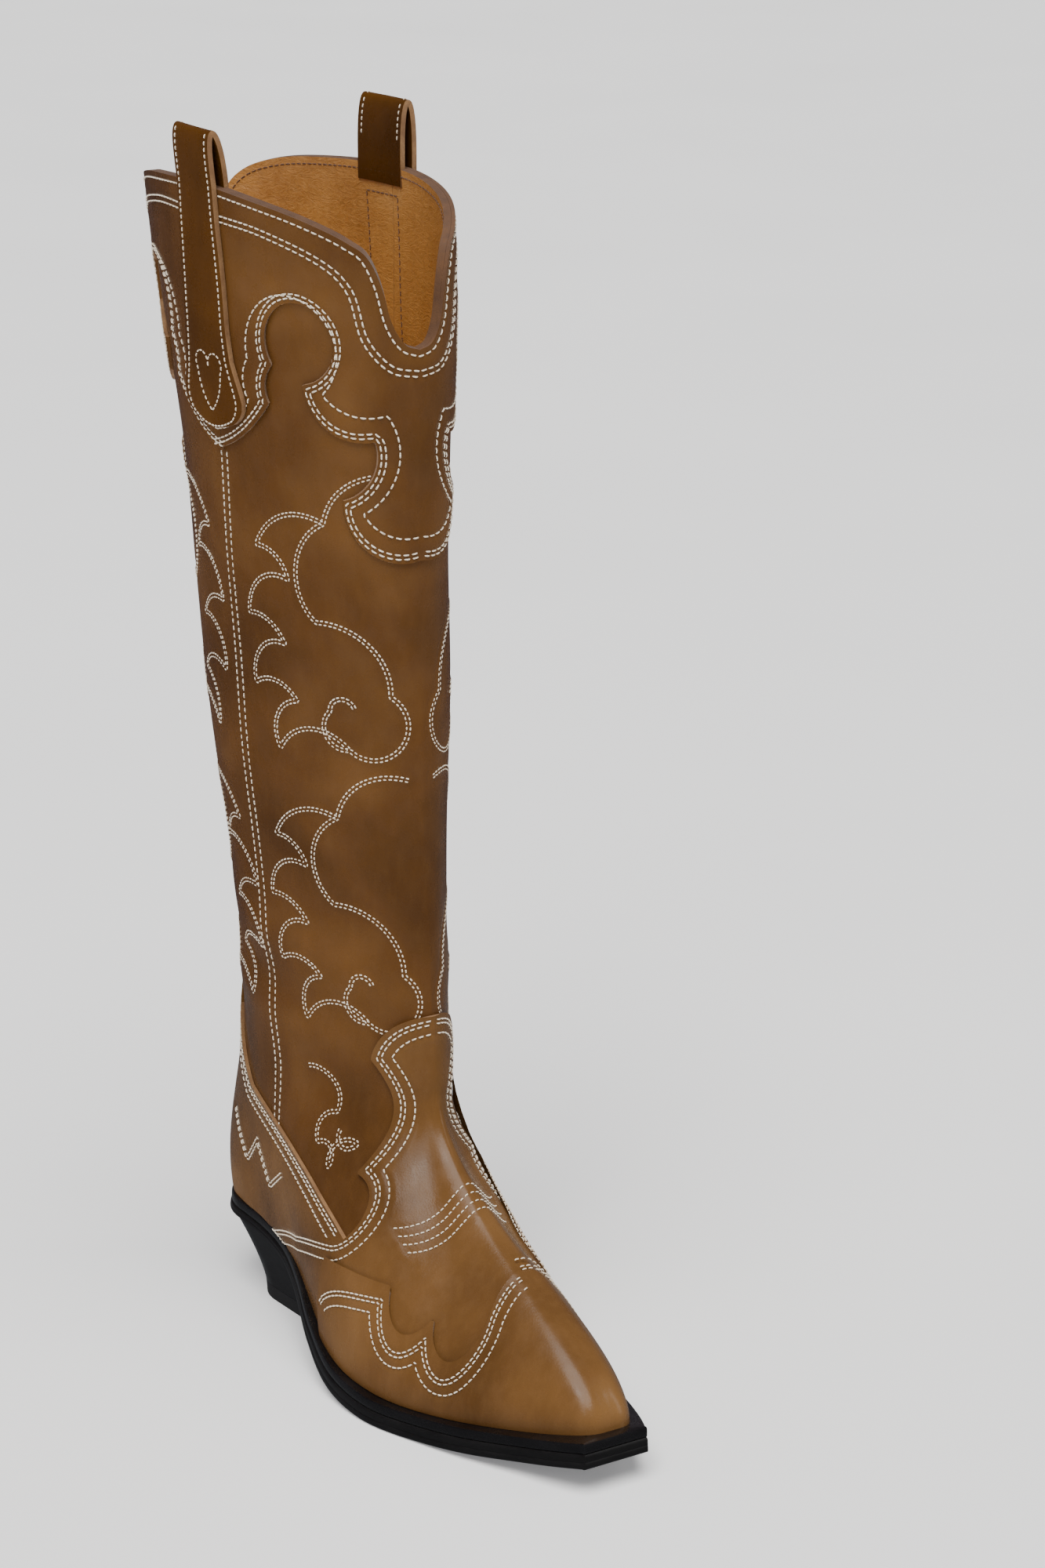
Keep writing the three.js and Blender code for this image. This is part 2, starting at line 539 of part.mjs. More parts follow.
// Leather cover pieces
const vampZone = sideCutter(VAMP_EDGE);
const vampKeepOut = sideCutter(grow(VAMP_EDGE, GAP));
const counterZone = sideCutter(COUNTER_EDGE);
const footCover = cover.intersect(sideCutter([[-BIG, -20], [-BIG, 170], [BIG, 170], [BIG, -20]]));
add('vamp', footCover.intersect(vampZone), 'leather');
add('heel_counter_cover', footCover.intersect(counterZone).subtract(vampKeepOut), 'leather');
add('toe_wing_overlay', topCover.intersect(planCutter(wingOutline)), 'leather');

const topBand = cover.intersect(sideCutter([[-BIG, 330], [-BIG, 600], [BIG, 600], [BIG, 330]]));
const frontCollar = topBand.intersect(collarQuarter((a) => a).add(collarQuarter((a) => -a)));
const backCollar = topBand.intersect(collarQuarter((a) => 180 - a).add(collarQuarter((a) => a - 180)));
// The side seam runs a little ahead of the widest station low on the shaft
const SEAM_LEAD = [{ z: 120, lead: 4.5 }, { z: 200, lead: 4.5 }, { z: 260, lead: 3 }, { z: 330, lead: 1 }, { z: 400, lead: 0 }];
const seamY = (z) => along(SHAFT, 'z', (k) => k.mid, z) - along(SEAM_LEAD, 'z', (k) => k.lead, z);
const seamLine = [120, 160, 200, 260, 330, 400, 470, 530].map((z) => [seamY(z), z]);
const seamFront = (d) => sideCutter([[-BIG, -20], [seamY(120) + d, -20], ...seamLine.map(([y, z]) => [y + d, z]), [-BIG, 530]]);
const seamBack = (d) => sideCutter([[BIG, -20], [seamY(120) + d, -20], ...seamLine.map(([y, z]) => [y + d, z]), [BIG, 530]]);
const half = GAP / 2;
add('collar_front', frontCollar.intersect(seamFront(-half)), 'leather');
add('collar_back', backCollar.intersect(seamBack(half)), 'leather');

// Structural layer: shaft panels, vamp backing, toe puff, heel stiffener
const FOOT_BACKING = [
  [-215, -20], [-215, 160], [-64, 149], [-55, 144], [-48, 136], [-47, 127], [-53, 115], [-55, 104],
  [-54, 95], [-50, 88], [-58, 79], [-63, 72], [-60, 60], [-44, 54], [-26, 50], [-10, 47], [-10, -20],
];
const STIFFENER = [[-9.4, -20], [-9.4, 66], [20, 73], [42, 90], [60, 97], [120, 97], [120, -20]];
const PUFF_LINE = -146;
const backing = middle.intersect(sideCutter(FOOT_BACKING));
const puffZone = planCutter([[-100, -230], [100, -230], [100, PUFF_LINE], [-100, PUFF_LINE]]);
const backZone = planCutter([[-100, PUFF_LINE + GAP], [100, PUFF_LINE + GAP], [100, 150], [-100, 150]], -20, 200);
add('toe_puff', backing.intersect(puffZone), 'stiffener');
add('vamp_backing', backing.intersect(backZone), 'lining');
add('heel_stiffener', middle.intersect(sideCutter(STIFFENER)), 'stiffener');
const shaftOnly = middle.subtract(sideCutter(grow(FOOT_BACKING, GAP))).subtract(sideCutter(grow(STIFFENER, GAP)));
add('shaft_front_panel', shaftOnly.intersect(seamFront(-half)), 'leather');
add('shaft_back_panel', shaftOnly.intersect(seamBack(half)), 'leather');

// Linings
const FOOT_LINING = [[-215, -20], [-215, 160], [-70, 118], [-10, 84], [-10, -20]];
const HEEL_LINING = [[-9.7, -20], [-9.7, 84], [120, 90], [120, -20]];
add('vamp_lining', inner.intersect(sideCutter(FOOT_LINING)), 'lining');
add('heel_lining', inner.intersect(sideCutter(HEEL_LINING)), 'lining');
const upperLining = inner.subtract(sideCutter(grow(FOOT_LINING, GAP))).subtract(sideCutter(grow(HEEL_LINING, GAP)));
add('shaft_lining_front', upperLining.intersect(seamFront(-half)), 'lining');
add('shaft_lining_back', upperLining.intersect(seamBack(half)), 'lining');

// Insole pieces: board, heel pad and sock lining lie inside the lining, one above the other
const INSOLE_INSET = 7.6;
function insoleLevel(inset, zAt, from, to) {
  const steps = [];
  for (let a = 0; a <= 180; a += a < 40 ? 5 : 10) steps.push(a);
  const level = steps.map((a) => {
    const l = featherPoint(a);
    const r = featherPoint(-a);
    return { y: l.y, left: l.x, right: r.x };
  });
  const at = (y) => {
    const row = level.findIndex((s) => s.y >= y);
    const i = Math.max(row, 1);
    const k = (y - level[i - 1].y) / (level[i].y - level[i - 1].y);
    return {
      left: THREE.MathUtils.lerp(level[i - 1].left, level[i].left, k),
      right: THREE.MathUtils.lerp(level[i - 1].right, level[i].right, k),
    };
  };
  const ys = [-183, -176, -165, -150, -132, -112, -92, -72, -52, -34, -16, 0, 16, 32, 46, 56, 64, 70, 74.5];
  const used = ys.filter((y) => y >= from && y <= to);
  return used.map((y) => {
    const w = at(y);
    const squeeze = y > 56 ? (y - 56) * 0.12 : 0;
    const tip = y < -170 ? 2 : 0;
    const lo = w.left + inset + squeeze - tip;
    const hi = w.right - inset - squeeze + tip;
    const mid = (lo + hi) / 2;
    return { y, left: Math.min(lo, mid - 1.5), right: Math.max(hi, mid + 1.5), z: zAt(y) };
  });
}
const padRise = (y) => 3 * THREE.MathUtils.smoothstep(y, -12, 6);
const boardTop = (y) => seatZ(y) + GAP + 2;
add('insole_board', loft([
  insoleLevel(INSOLE_INSET, (y) => seatZ(y) + GAP, -183, 75),
  insoleLevel(INSOLE_INSET - 0.5, boardTop, -183, 75),
]), 'board');
add('heel_pad', loft([
  insoleLevel(INSOLE_INSET + 5, (y) => boardTop(y) + GAP, 0, 64),
  insoleLevel(INSOLE_INSET + 5, (y) => boardTop(y) + GAP + padRise(y) - GAP, 0, 64),
]), 'foam');
add('sock_lining', loft([
  insoleLevel(INSOLE_INSET - 0.5, (y) => boardTop(y) + GAP + padRise(y), -176, 75),
  insoleLevel(INSOLE_INSET - 0.8, (y) => boardTop(y) + GAP + padRise(y) + 1.2, -176, 75),
]), 'lining');

// Pull straps: a leather loop over the top edge, long tab outside with a flared round end, short tab inside
const STRAP_Y = 17;
const flare = [
  [2, 570], [2, 480], [0.5, 455], [0, 437], [-1.5, 425], [-5, 416], [-7, 409], [-5.5, 403], [0, 399], [7, 397],
  [15, 396.3], [23, 397], [30, 399], [35.5, 403], [37, 409], [35, 416], [32, 425], [30.5, 440], [31, 456], [32, 480],
  [32, 570],
];
function pullStrap(side) {
  const sign = -side;
  const wall = (z) => shaftPoint(z, 90 * side).x * sign;
  const outFace = (z) => wall(z) + 2 * GAP + OVERLAY + 0.2;
  const inFace = (z) => wall(z) - LEATHER - 2 * GAP - LINING - 2.3;
  const zTab = 395;
  const zInner = 446;
  const zTop = topZ(90) + STRAP_RISE;
  const heights = [zTab, 430, 460, 490];
  const arcs = [0, 30, 60, 90, 120, 150, 180];
  const centre = (outFace(494) + inFace(494)) / 2;
  const rOut = (outFace(494) - inFace(494)) / 2 + STRAP_T;
  const zArc = zTop - rOut;
  const arc = (r) => arcs.map((a) => [centre + r * Math.cos(rad(a)), zArc + r * Math.sin(rad(a))]);
  const loopOut = heights.map((z) => [outFace(z) + STRAP_T, z]);
  const loopIn = heights.map((z) => [outFace(z), z]);
  const inner = [490, 468, zInner];
  const outline = [
    ...loopOut, ...arc(rOut), ...inner.map((z) => [inFace(z) - STRAP_T, z]),
    ...inner.slice().reverse().map((z) => [inFace(z), z]),
    ...arc(rOut - STRAP_T).reverse(), ...loopIn.reverse(),
  ];
  const shape = new THREE.Shape(outline.map(([x, z]) => new THREE.Vector2(x * sign, z)));
  const depth = STRAP_W + 16;
  const geometry = new THREE.ExtrudeGeometry(shape, { depth, bevelEnabled: false });
  geometry.rotateX(Math.PI / 2);
  geometry.translate(0, STRAP_Y + depth / 2, 0);
  return solidFrom(geometry).intersect(sideCutter(flare));
}
add('pull_strap_outer', pullStrap(1), 'leatherDark');
add('pull_strap_inner', pullStrap(-1), 'leatherDark');

export default group;
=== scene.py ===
"""Knee-high western boot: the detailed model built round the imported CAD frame.

Working units are millimetres in the row frame (+Z up, toe towards -Y, outer side towards -X);
meshes are scaled to metres when they are made.
"""
import math

import bmesh
import bpy
import numpy as np
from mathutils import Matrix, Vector
from mathutils.bvhtree import BVHTree
from mathutils.kdtree import KDTree


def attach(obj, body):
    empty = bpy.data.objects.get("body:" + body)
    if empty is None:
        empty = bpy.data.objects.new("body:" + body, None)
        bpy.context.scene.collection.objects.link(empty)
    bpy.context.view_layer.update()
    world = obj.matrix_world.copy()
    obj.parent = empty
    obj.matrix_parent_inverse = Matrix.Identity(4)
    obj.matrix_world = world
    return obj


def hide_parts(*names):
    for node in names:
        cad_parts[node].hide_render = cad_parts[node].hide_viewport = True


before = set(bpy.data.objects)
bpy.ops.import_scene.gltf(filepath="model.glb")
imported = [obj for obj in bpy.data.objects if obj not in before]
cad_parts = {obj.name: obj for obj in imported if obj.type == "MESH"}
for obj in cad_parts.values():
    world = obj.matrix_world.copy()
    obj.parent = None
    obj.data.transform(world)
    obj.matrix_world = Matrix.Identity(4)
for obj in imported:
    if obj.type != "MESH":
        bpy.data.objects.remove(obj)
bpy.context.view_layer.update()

# ---------------------------------------------------------------- driving dimensions
# As in part.mjs, except that SEAT_GAP is 0.6, OVERLAY 1.4 and LINING 1.2 there.
ANKLE_Z = 122.0
SEAT_GAP = 0.3
LEATHER = 1.8
OVERLAY = 1.5
LINING = 1.3
WELT_T = 4.5
OUTSOLE_T = 6.5
TOP_LIFT_T = 6.0
HEEL_BREAST_Y = -9.0
STRAP_T = 2.2

# height: half width, widest station, front line, back line, side lean, front roundness
SHAFT = np.array([
    [120, 33.5, 17.5, -58, 74.5, 2, 1.35],
    [150, 35, 19, -56, 72.5, 2, 1.35],
    [200, 38, 21, -53.5, 78.5, 1.5, 1.3],
    [260, 40.3, 20, -55, 83.5, -1.5, 1.2],
    [330, 42, 18, -59, 91, -5, 1.1],
    [400, 43, 14, -66, 99, -9, 1],
    [470, 43.5, 10, -72, 110, -13, 1],
    [530, 43.5, 8, -76, 118, -16, 1],
], float)

# turning angle: outer x, y, inner x, y, rise, swell, drop, outer sweep, inner sweep
FOOT = np.array([
    [0, -1.5, -189, -1.5, -189, 32, 0, 50, 0, 0],
    [4, -9, -187.5, 6.5, -187.5, 32, 0, 50, 0, -2],
    [8, -17, -176, 13.5, -176, 31, 2, 50, 0, -5],
    [14, -27, -155, 22, -155, 29, 3, 49, -1, -8],
    [22, -37.5, -130, 29, -130, 29, 3.5, 46, 0, -9],
    [32, -45.5, -105, 35, -106, 32, 4, 40, 1, -8],
    [45, -49, -78, 36, -80, 36, 4, 32, 1, -5],
    [60, -46.5, -52, 30.5, -54, 38, 4, 26, 1, -1],
    [75, -40, -28, 26.5, -29, 38, 4, 23, 0, 0],
    [90, -33.5, -5, 25.5, -5, 36, 4, 22, 0, 0],
    [105, -29.5, 16, 27, 16, 35, 4, 22, 0, 0],
    [120, -26.5, 36, 29.5, 36, 33, 4.5, 22, 0, 0],
    [135, -25, 53, 30, 53, 32, 5, 22, 0, 0],
    [150, -21.3, 67.8, 26.3, 67.8, 32, 5, 22, 0, 0],
    [165, -11.3, 78.5, 16.3, 78.5, 32, 5.5, 22, 0, 0],
    [180, 2.5, 82.5, 2.5, 82.5, 32, 6, 22, 0, 0],
], float)

SEAT = np.array([
    [-200, 22.5], [-170, 17], [-140, 13], [-115, 11.3], [-90, 11.3], [-60, 15],
    [-35, 23], [-10, 33], [10, 38], [40, 40.5], [86, 41.5],
], float)

SOLE = np.array([
    [-200, 19.4, 10.7], [-188, 24.5, 17], [-170, 31, 25], [-145, 41, 34.3], [-120, 49, 43],
    [-95, 55.5, 44], [-65, 55.5, 36], [-35, 48, 30], [-10, 39, 28.5], [10, 33, 30.5],
    [35, 29, 33.5], [54, 28, 34],
], float)

TOP_EDGE = np.array([
    [0, 437], [8, 440], [14, 449], [18, 462], [24, 474], [32, 480], [45, 486], [60, 490.5], [90, 494.5],
    [120, 492.5], [135, 489.5], [148, 484], [156, 477], [162, 467], [166, 459], [172, 454], [180, 452],
], float)


def along(table, column, x):
    """Smooth value of a table's column at x, with the first column as the key."""
    key = table[:, 0]
    val = table[:, column]
    x = np.clip(np.asarray(x, float), key[0], key[-1])
    slope = np.diff(val) / np.diff(key)
    tangent = np.concatenate([[slope[0]], (slope[:-1] + slope[1:]) / 2, [slope[-1]]])
    i = np.clip(np.searchsorted(key, x, side="right") - 1, 0, len(key) - 2)
    h = key[i + 1] - key[i]
    s = (x - key[i]) / h
    return (val[i] * (2 * s**3 - 3 * s**2 + 1) + h * tangent[i] * (s**3 - 2 * s**2 + s)
            + val[i + 1] * (3 * s**2 - 2 * s**3) + h * tangent[i + 1] * (s**3 - s**2))


def seat_z(y):
    return along(SEAT, 1, y)


def top_z(deg):
    return along(TOP_EDGE, 1, np.abs(deg))


def sag(z, deg):
    """How far the soft shaft leather leans in and out of its drawn shape, in mm."""
    a = np.radians(deg)
    rise = np.clip((z - 135) / 60, 0, 1)
    folds = 0.9 * np.sin(z / 27 + 1.6 * np.sin(a + 0.7) + 0.4) * np.sin(2 * a + 0.3)
    folds = folds + 0.5 * np.sin(z / 13.5 + 2.2 * np.sin(2 * a) + 1.1) * np.cos(a - 0.6)
    ankle = 1.1 * np.exp(-((z - 160) / 26) ** 2) * np.sin(z / 6.8 + 2.4 * np.cos(a)) * np.abs(np.sin(a)) ** 2
    return rise * folds + ankle


def shaft_point(z, deg):
    """Outer face of the shaft leather; deg > 0 is the outer (lateral) half. Broadcasts."""
    z, deg = np.broadcast_arrays(np.asarray(z, float), np.asarray(deg, float))
    half, mid, front, back, lean, power = (along(SHAFT, k, z) for k in range(1, 7))
    s, c = np.sin(np.radians(deg)), np.cos(np.radians(deg))
    power = np.where(c > 0, power, 1)
    reach = np.where(c > 0, mid - front, back - mid)
    x = lean - half * np.sign(s) * np.abs(s) ** power
    y = mid - reach * c
    out = np.stack([x - lean, (y - mid) * half / reach], -1)
    out /= np.linalg.norm(out, axis=-1, keepdims=True) + 1e-9
    d = sag(z, deg)
    return np.stack([x + out[..., 0] * d, y + out[..., 1] * d, z], -1)


def feather_point(deg):
    a = np.abs(deg)
    outer = np.asarray(deg) >= 0
    x = np.where(outer, along(FOOT, 1, a), along(FOOT, 3, a))
    y = np.where(outer, along(FOOT, 2, a), along(FOOT, 4, a))
    return np.stack([x, y, seat_z(y) + SEAT_GAP], -1)


def foot_point(t, deg):
    """Outer face of the foot: t runs from the feather line (0) to the ankle ring (1)."""
    t, deg = np.broadcast_arrays(np.asarray(t, float), np.asarray(deg, float))
    a = np.abs(deg)
    low = feather_point(deg)
    high = shaft_point(np.full_like(deg, ANKLE_Z), deg)
    pull = (shaft_point(np.full_like(deg, ANKLE_Z + 5), deg) - high) / 5
    ahead = feather_point(np.minimum(deg + 0.5, 180))
    behind = feather_point(np.maximum(deg - 0.5, -180))
    out = np.stack([behind[..., 1] - ahead[..., 1], ahead[..., 0] - behind[..., 0]], -1)
    out /= np.linalg.norm(out, axis=-1, keepdims=True) + 1e-9
    facing = out[..., 0] * low[..., 0] + out[..., 1] * np.where(np.abs(low[..., 1]) > 60, low[..., 1], 0)
    out = np.where((facing < 0)[..., None], -out, out)
    swell = along(FOOT, 6, a)
    first = low.copy()
    first[..., 0] += out[..., 0] * swell
    first[..., 1] += out[..., 1] * swell * 0.6 + 3 * np.clip((24 - a) / 8, 0, 1)
    first[..., 2] += along(FOOT, 5, a)
    second = high - pull * along(FOOT, 7, a)[..., None]
    second[..., 1] -= np.where(deg >= 0, along(FOOT, 8, a), along(FOOT, 9, a))
    t = t[..., None]
    return (low * (1 - t) ** 3 + first * 3 * t * (1 - t) ** 2 + second * 3 * t**2 * (1 - t) + high * t**3)


# ---------------------------------------------------------------- meshes
MM = 0.001


def face_outwards(obj, sharp=None):
    """Turns every face of a closed mesh outwards, and keeps its edges over an angle in degrees sharp."""
    mesh = bmesh.new()
    mesh.from_mesh(obj.data)
    bmesh.ops.recalc_face_normals(mesh, faces=mesh.faces)
    mesh.to_mesh(obj.data)
    mesh.free()
    if sharp:
        obj.data.set_sharp_from_angle(angle=math.radians(sharp))
    return obj


def new_object(name, points, faces, materials=(), indices=None):
    mesh = bpy.data.meshes.new(name)
    mesh.from_pydata((np.asarray(points, float) * MM).tolist(), [], faces)
    for material in materials:
        mesh.materials.append(material)
    if indices is not None:
        mesh.polygons.foreach_set("material_index", np.asarray(indices, np.int32))
    mesh.polygons.foreach_set("use_smooth", np.full(len(mesh.polygons), True))
    mesh.update()
    obj = bpy.data.objects.new(name, mesh)
    bpy.context.scene.collection.objects.link(obj)
    return obj


def place(obj, slot, *nodes):
    """Every new piece rides on the one body, and the CAD nodes it stands for are hidden."""
    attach(obj, "root")
    if nodes:
        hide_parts(*nodes)
    return obj


def grid_faces(rows, columns, wrap=False, first=0, flip=False):
    faces = []
    last = columns if wrap else columns - 1
    for i in range(rows - 1):
        for j in range(last):
            k = (j + 1) % columns
            quad = [first + i * columns + j, first + i * columns + k,
                    first + (i + 1) * columns + k, first + (i + 1) * columns + j]
            faces.append(quad[::-1] if flip else quad)
    return faces


def ring_normals(points):
    up = np.gradient(points, axis=0)
    turn = np.roll(points, -1, 1) - np.roll(points, 1, 1)
    n = np.cross(up, turn)
    return n / (np.linalg.norm(n, axis=-1, keepdims=True) + 1e-9)


def uneven_angles():
    """Angles all round the upper, closer together over the narrow toe."""
    u = np.linspace(0, 1, 131)
    half = 180 * (0.45 * u + 0.55 * u**1.9)
    return np.concatenate([half, -half[1:-1][::-1]])


DEGS = uneven_angles()
FOOT_T = np.linspace(0, 1, 96)
SHAFT_U = np.linspace(0, 1, 270)[1:]


def upper_grid(top_pad=0.0):
    low = foot_point(FOOT_T[:, None], DEGS[None, :])
    z = ANKLE_Z + SHAFT_U[:, None] * (top_z(DEGS)[None, :] + top_pad - ANKLE_Z)
    return np.concatenate([low, shaft_point(z, DEGS[None, :])])


UPPER = upper_grid()
NORMALS = ring_normals(UPPER)
if (NORMALS[200, 0] * [0, -1, 0]).sum() < 0:
    NORMALS = -NORMALS


def shell(name, inside, outside, rows=slice(None)):
    """Closed skin between two offsets of the upper's surface."""
    points, normals = UPPER[rows], NORMALS[rows]
    n, m = points.shape[:2]
    outer, inner = points + normals * outside, points + normals * inside
    if rows.start in (None, 0):
        outer[0, :, 2] = points[0, :, 2]
        inner[0, :, 2] = points[0, :, 2]
    faces = grid_faces(n, m, wrap=True) + grid_faces(n, m, wrap=True, first=n * m, flip=True)
    for j in range(m):
        k = (j + 1) % m
        faces.append([j, n * m + j, n * m + k, k])
        faces.append([(n - 1) * m + j, (n - 1) * m + k, n * m + (n - 1) * m + k, n * m + (n - 1) * m + j])
    return new_object(name, np.concatenate([outer.reshape(-1, 3), inner.reshape(-1, 3)]), faces)


def surface_tree():
    n, m = UPPER.shape[:2]
    return BVHTree.FromPolygons([Vector(p) for p in UPPER.reshape(-1, 3)], grid_faces(n, m, wrap=True))


TREE = surface_tree()


def snap(points):
    """Nearest places on the upper's surface, and the outward normals there."""
    found, normal = [], []
    for p in points:
        place_, n, _, _ = TREE.find_nearest(Vector(p))
        found.append(place_)
        normal.append(n)
    found, normal = np.array(found, float), np.array(normal, float)
    away = found - np.array([0, 15, 0])
    facing = np.where(found[:, 2:3] > 110, away * [1, 1, 0], found - np.array([0, 0, 20]))
    wrong = (normal * facing).sum(1) < 0
    normal[wrong] *= -1
    return found, normal


# ---------------------------------------------------------------- curves on the surface
def bend(points, step=0.8):
    """Even points along a smooth curve through all the given points."""
    run = np.array(points, float)
    ext = np.concatenate([[2 * run[0] - run[1]], run, [2 * run[-1] - run[-2]]])
    fine = []
    for i in range(1, len(ext) - 2):
        p0, p1, p2, p3 = ext[i - 1:i + 3]
        t = np.linspace(0, 1, 12, endpoint=False)[:, None]
        fine.append(0.5 * (2 * p1 + (p2 - p0) * t + (2 * p0 - 5 * p1 + 4 * p2 - p3) * t**2
                           + (3 * p1 - p0 - 3 * p2 + p3) * t**3))
    return resample(np.concatenate([*fine, run[-1:]]), step)


def arcs(corners, step=0.8):
    """Curve through corners; a third number is how far the arc to the corner rises left of its chord."""
    out = [np.array([corners[0][:2]], float)]
    for before, (a, b, *rise) in zip(corners[:-1], corners[1:]):
        p, q = np.array(before[:2], float), np.array([a, b], float)
        high = rise[0] if rise and rise[0] else 1e-4
        half = np.linalg.norm(q - p) / 2
        u = (q - p) / (2 * half)
        radius = (half**2 + high**2) / (2 * high)
        turn = 2 * math.atan(high / half)
        angle = turn * np.linspace(-1, 1, max(3, int(2 * turn * radius / step)))[1:, None]
        left = radius * np.cos(angle) - radius + high
        out.append((p + q) / 2 + u * radius * np.sin(angle) + np.array([-u[1], u[0]]) * left)
    return resample(np.concatenate(out), step)


def resample(points, step):
    length = np.concatenate([[0], np.cumsum(np.linalg.norm(np.diff(points, axis=0), axis=1))])
    count = max(2, int(round(length[-1] / step)) + 1)
    at = np.linspace(0, length[-1], count)
    return np.stack([np.interp(at, length, points[:, k]) for k in range(points.shape[1])], 1)


ARC_DEGS = np.linspace(0, 180, 241)


def chart(points, side, back=False):
    """Places on the shaft from (distance round from the front or back centre line, height)."""
    s, z = points[:, 0], points[:, 1]
    ring = shaft_point(z[:, None], side * ARC_DEGS[None, :])
    step = np.linalg.norm(np.diff(ring[..., :2], axis=1), axis=-1)
    arc = np.concatenate([np.zeros((len(s), 1)), np.cumsum(step, 1)], 1)
    if back:
        arc = arc[:, -1:] - arc
        deg = np.array([np.interp(v, a[::-1], ARC_DEGS[::-1]) for v, a in zip(s, arc)])
    else:
        deg = np.array([np.interp(v, a, ARC_DEGS) for v, a in zip(s, arc)])
    return side * deg, z


def chart_row(points, side, back=False):
    """A curve drawn on the flat panel, laid on the shaft: places and outward normals."""
    points = np.array(points, float)
    if back:
        points = points.copy()
        deg, z = chart(points, side, False)
        lift = top_z(180 - np.abs(deg)) - top_z(deg)
        points[:, 1] += lift * np.clip((points[:, 1] - 395) / 50, 0, 1)
    deg, z = chart(points, side, back)
    p = shaft_point(z, deg)
    e = 0.4
    du = shaft_point(z, deg + e) - shaft_point(z, deg - e)
    dz = shaft_point(z + 1, deg) - shaft_point(z - 1, deg)
    n = np.cross(du, dz)
    n /= np.linalg.norm(n, axis=1, keepdims=True)
    out = p - np.array([0, 15, 0])
    n[(n * out * [1, 1, 0]).sum(1) < 0] *= -1
    return p, n


def inset(points, normals, distance):
    """The same curve moved sideways over the surface, without the loops this makes at corners."""
    t = np.gradient(points, axis=0)
    t /= np.linalg.norm(t, axis=1, keepdims=True) + 1e-9
    moved = points + np.cross(normals, t) * distance
    gap = np.linalg.norm(moved[:, None] - points[None], axis=-1).min(1)
    keep = gap > abs(distance) * 0.94
    moved = resample(moved[keep], 0.8)
    return snap(moved)


# ---------------------------------------------------------------- stitches
def sew(rows, pitch, dash, radius, offset):
    """Threads lying along rows; each dash dips into the leather at both ends. Returns points, faces."""
    ring = np.radians(np.arange(6) * 60)
    stations = np.array([-0.5, -0.36, 0, 0.36, 0.5])
    girth = np.array([0.35, 0.92, 1.0, 0.92, 0.35])
    depth = np.array([-0.55, -0.02, 0.12, -0.02, -0.55])
    points, faces, base = [], [], 0
    template = grid_faces(5, 6, wrap=True) + [list(range(6))[::-1], list(range(24, 30))]
    template = np.array([f for f in template if len(f) == 4]), [f for f in template if len(f) != 4]
    for place_, normal in rows:
        length = np.concatenate([[0], np.cumsum(np.linalg.norm(np.diff(place_, axis=0), axis=1))])
        if length[-1] < pitch:
            continue
        count = max(1, int(length[-1] / pitch))
        at = (np.arange(count) + 0.5) * length[-1] / count
        where = lambda q, a: np.stack([np.interp(a, length, q[:, k]) for k in range(3)], 1)
        centre, n = where(place_, at), where(normal, at)
        t = where(place_, at + dash / 2) - where(place_, at - dash / 2)
        span = np.linalg.norm(t, axis=1, keepdims=True) + 1e-9
        t /= span
        n -= t * (n * t).sum(1, keepdims=True)
        n /= np.linalg.norm(n, axis=1, keepdims=True) + 1e-9
        b = np.cross(t, n)
        scale = np.minimum(span, dash)
        for st, g, d in zip(stations, girth, depth):
            c = centre + t * (st * scale) + n * (offset + d * radius * 2)
            for a in ring:
                points.append(c + (b * math.cos(a) + n * math.sin(a) * 0.8) * g * radius)
        count = len(centre)
        ids = base + np.arange(30)[None, :] * count + np.arange(count)[:, None]
        faces.extend(ids[:, template[0]].reshape(-1, 4).tolist())
        for cap in template[1]:
            faces.extend(ids[:, cap].tolist())
        base += 30 * count
    return np.concatenate(points), faces


SINKS = []


def stitch(name, rows, material, pitch=2.3, dash=1.75, radius=0.34, offset=0.12):
    rows = [r for r in rows if len(r[0]) > 3]
    points, faces = sew(rows, pitch, dash, radius, offset)
    SINKS.extend(p + n * offset for p, n in rows)
    return place(new_object(name, points, faces, [material]), "leather_brown")


# ---------------------------------------------------------------- materials
def srgb(r, g, b):
    lin = [((c / 255 + 0.055) / 1.055) ** 2.4 if c > 10 else c / 255 / 12.92 for c in (r, g, b)]
    return (*lin, 1)


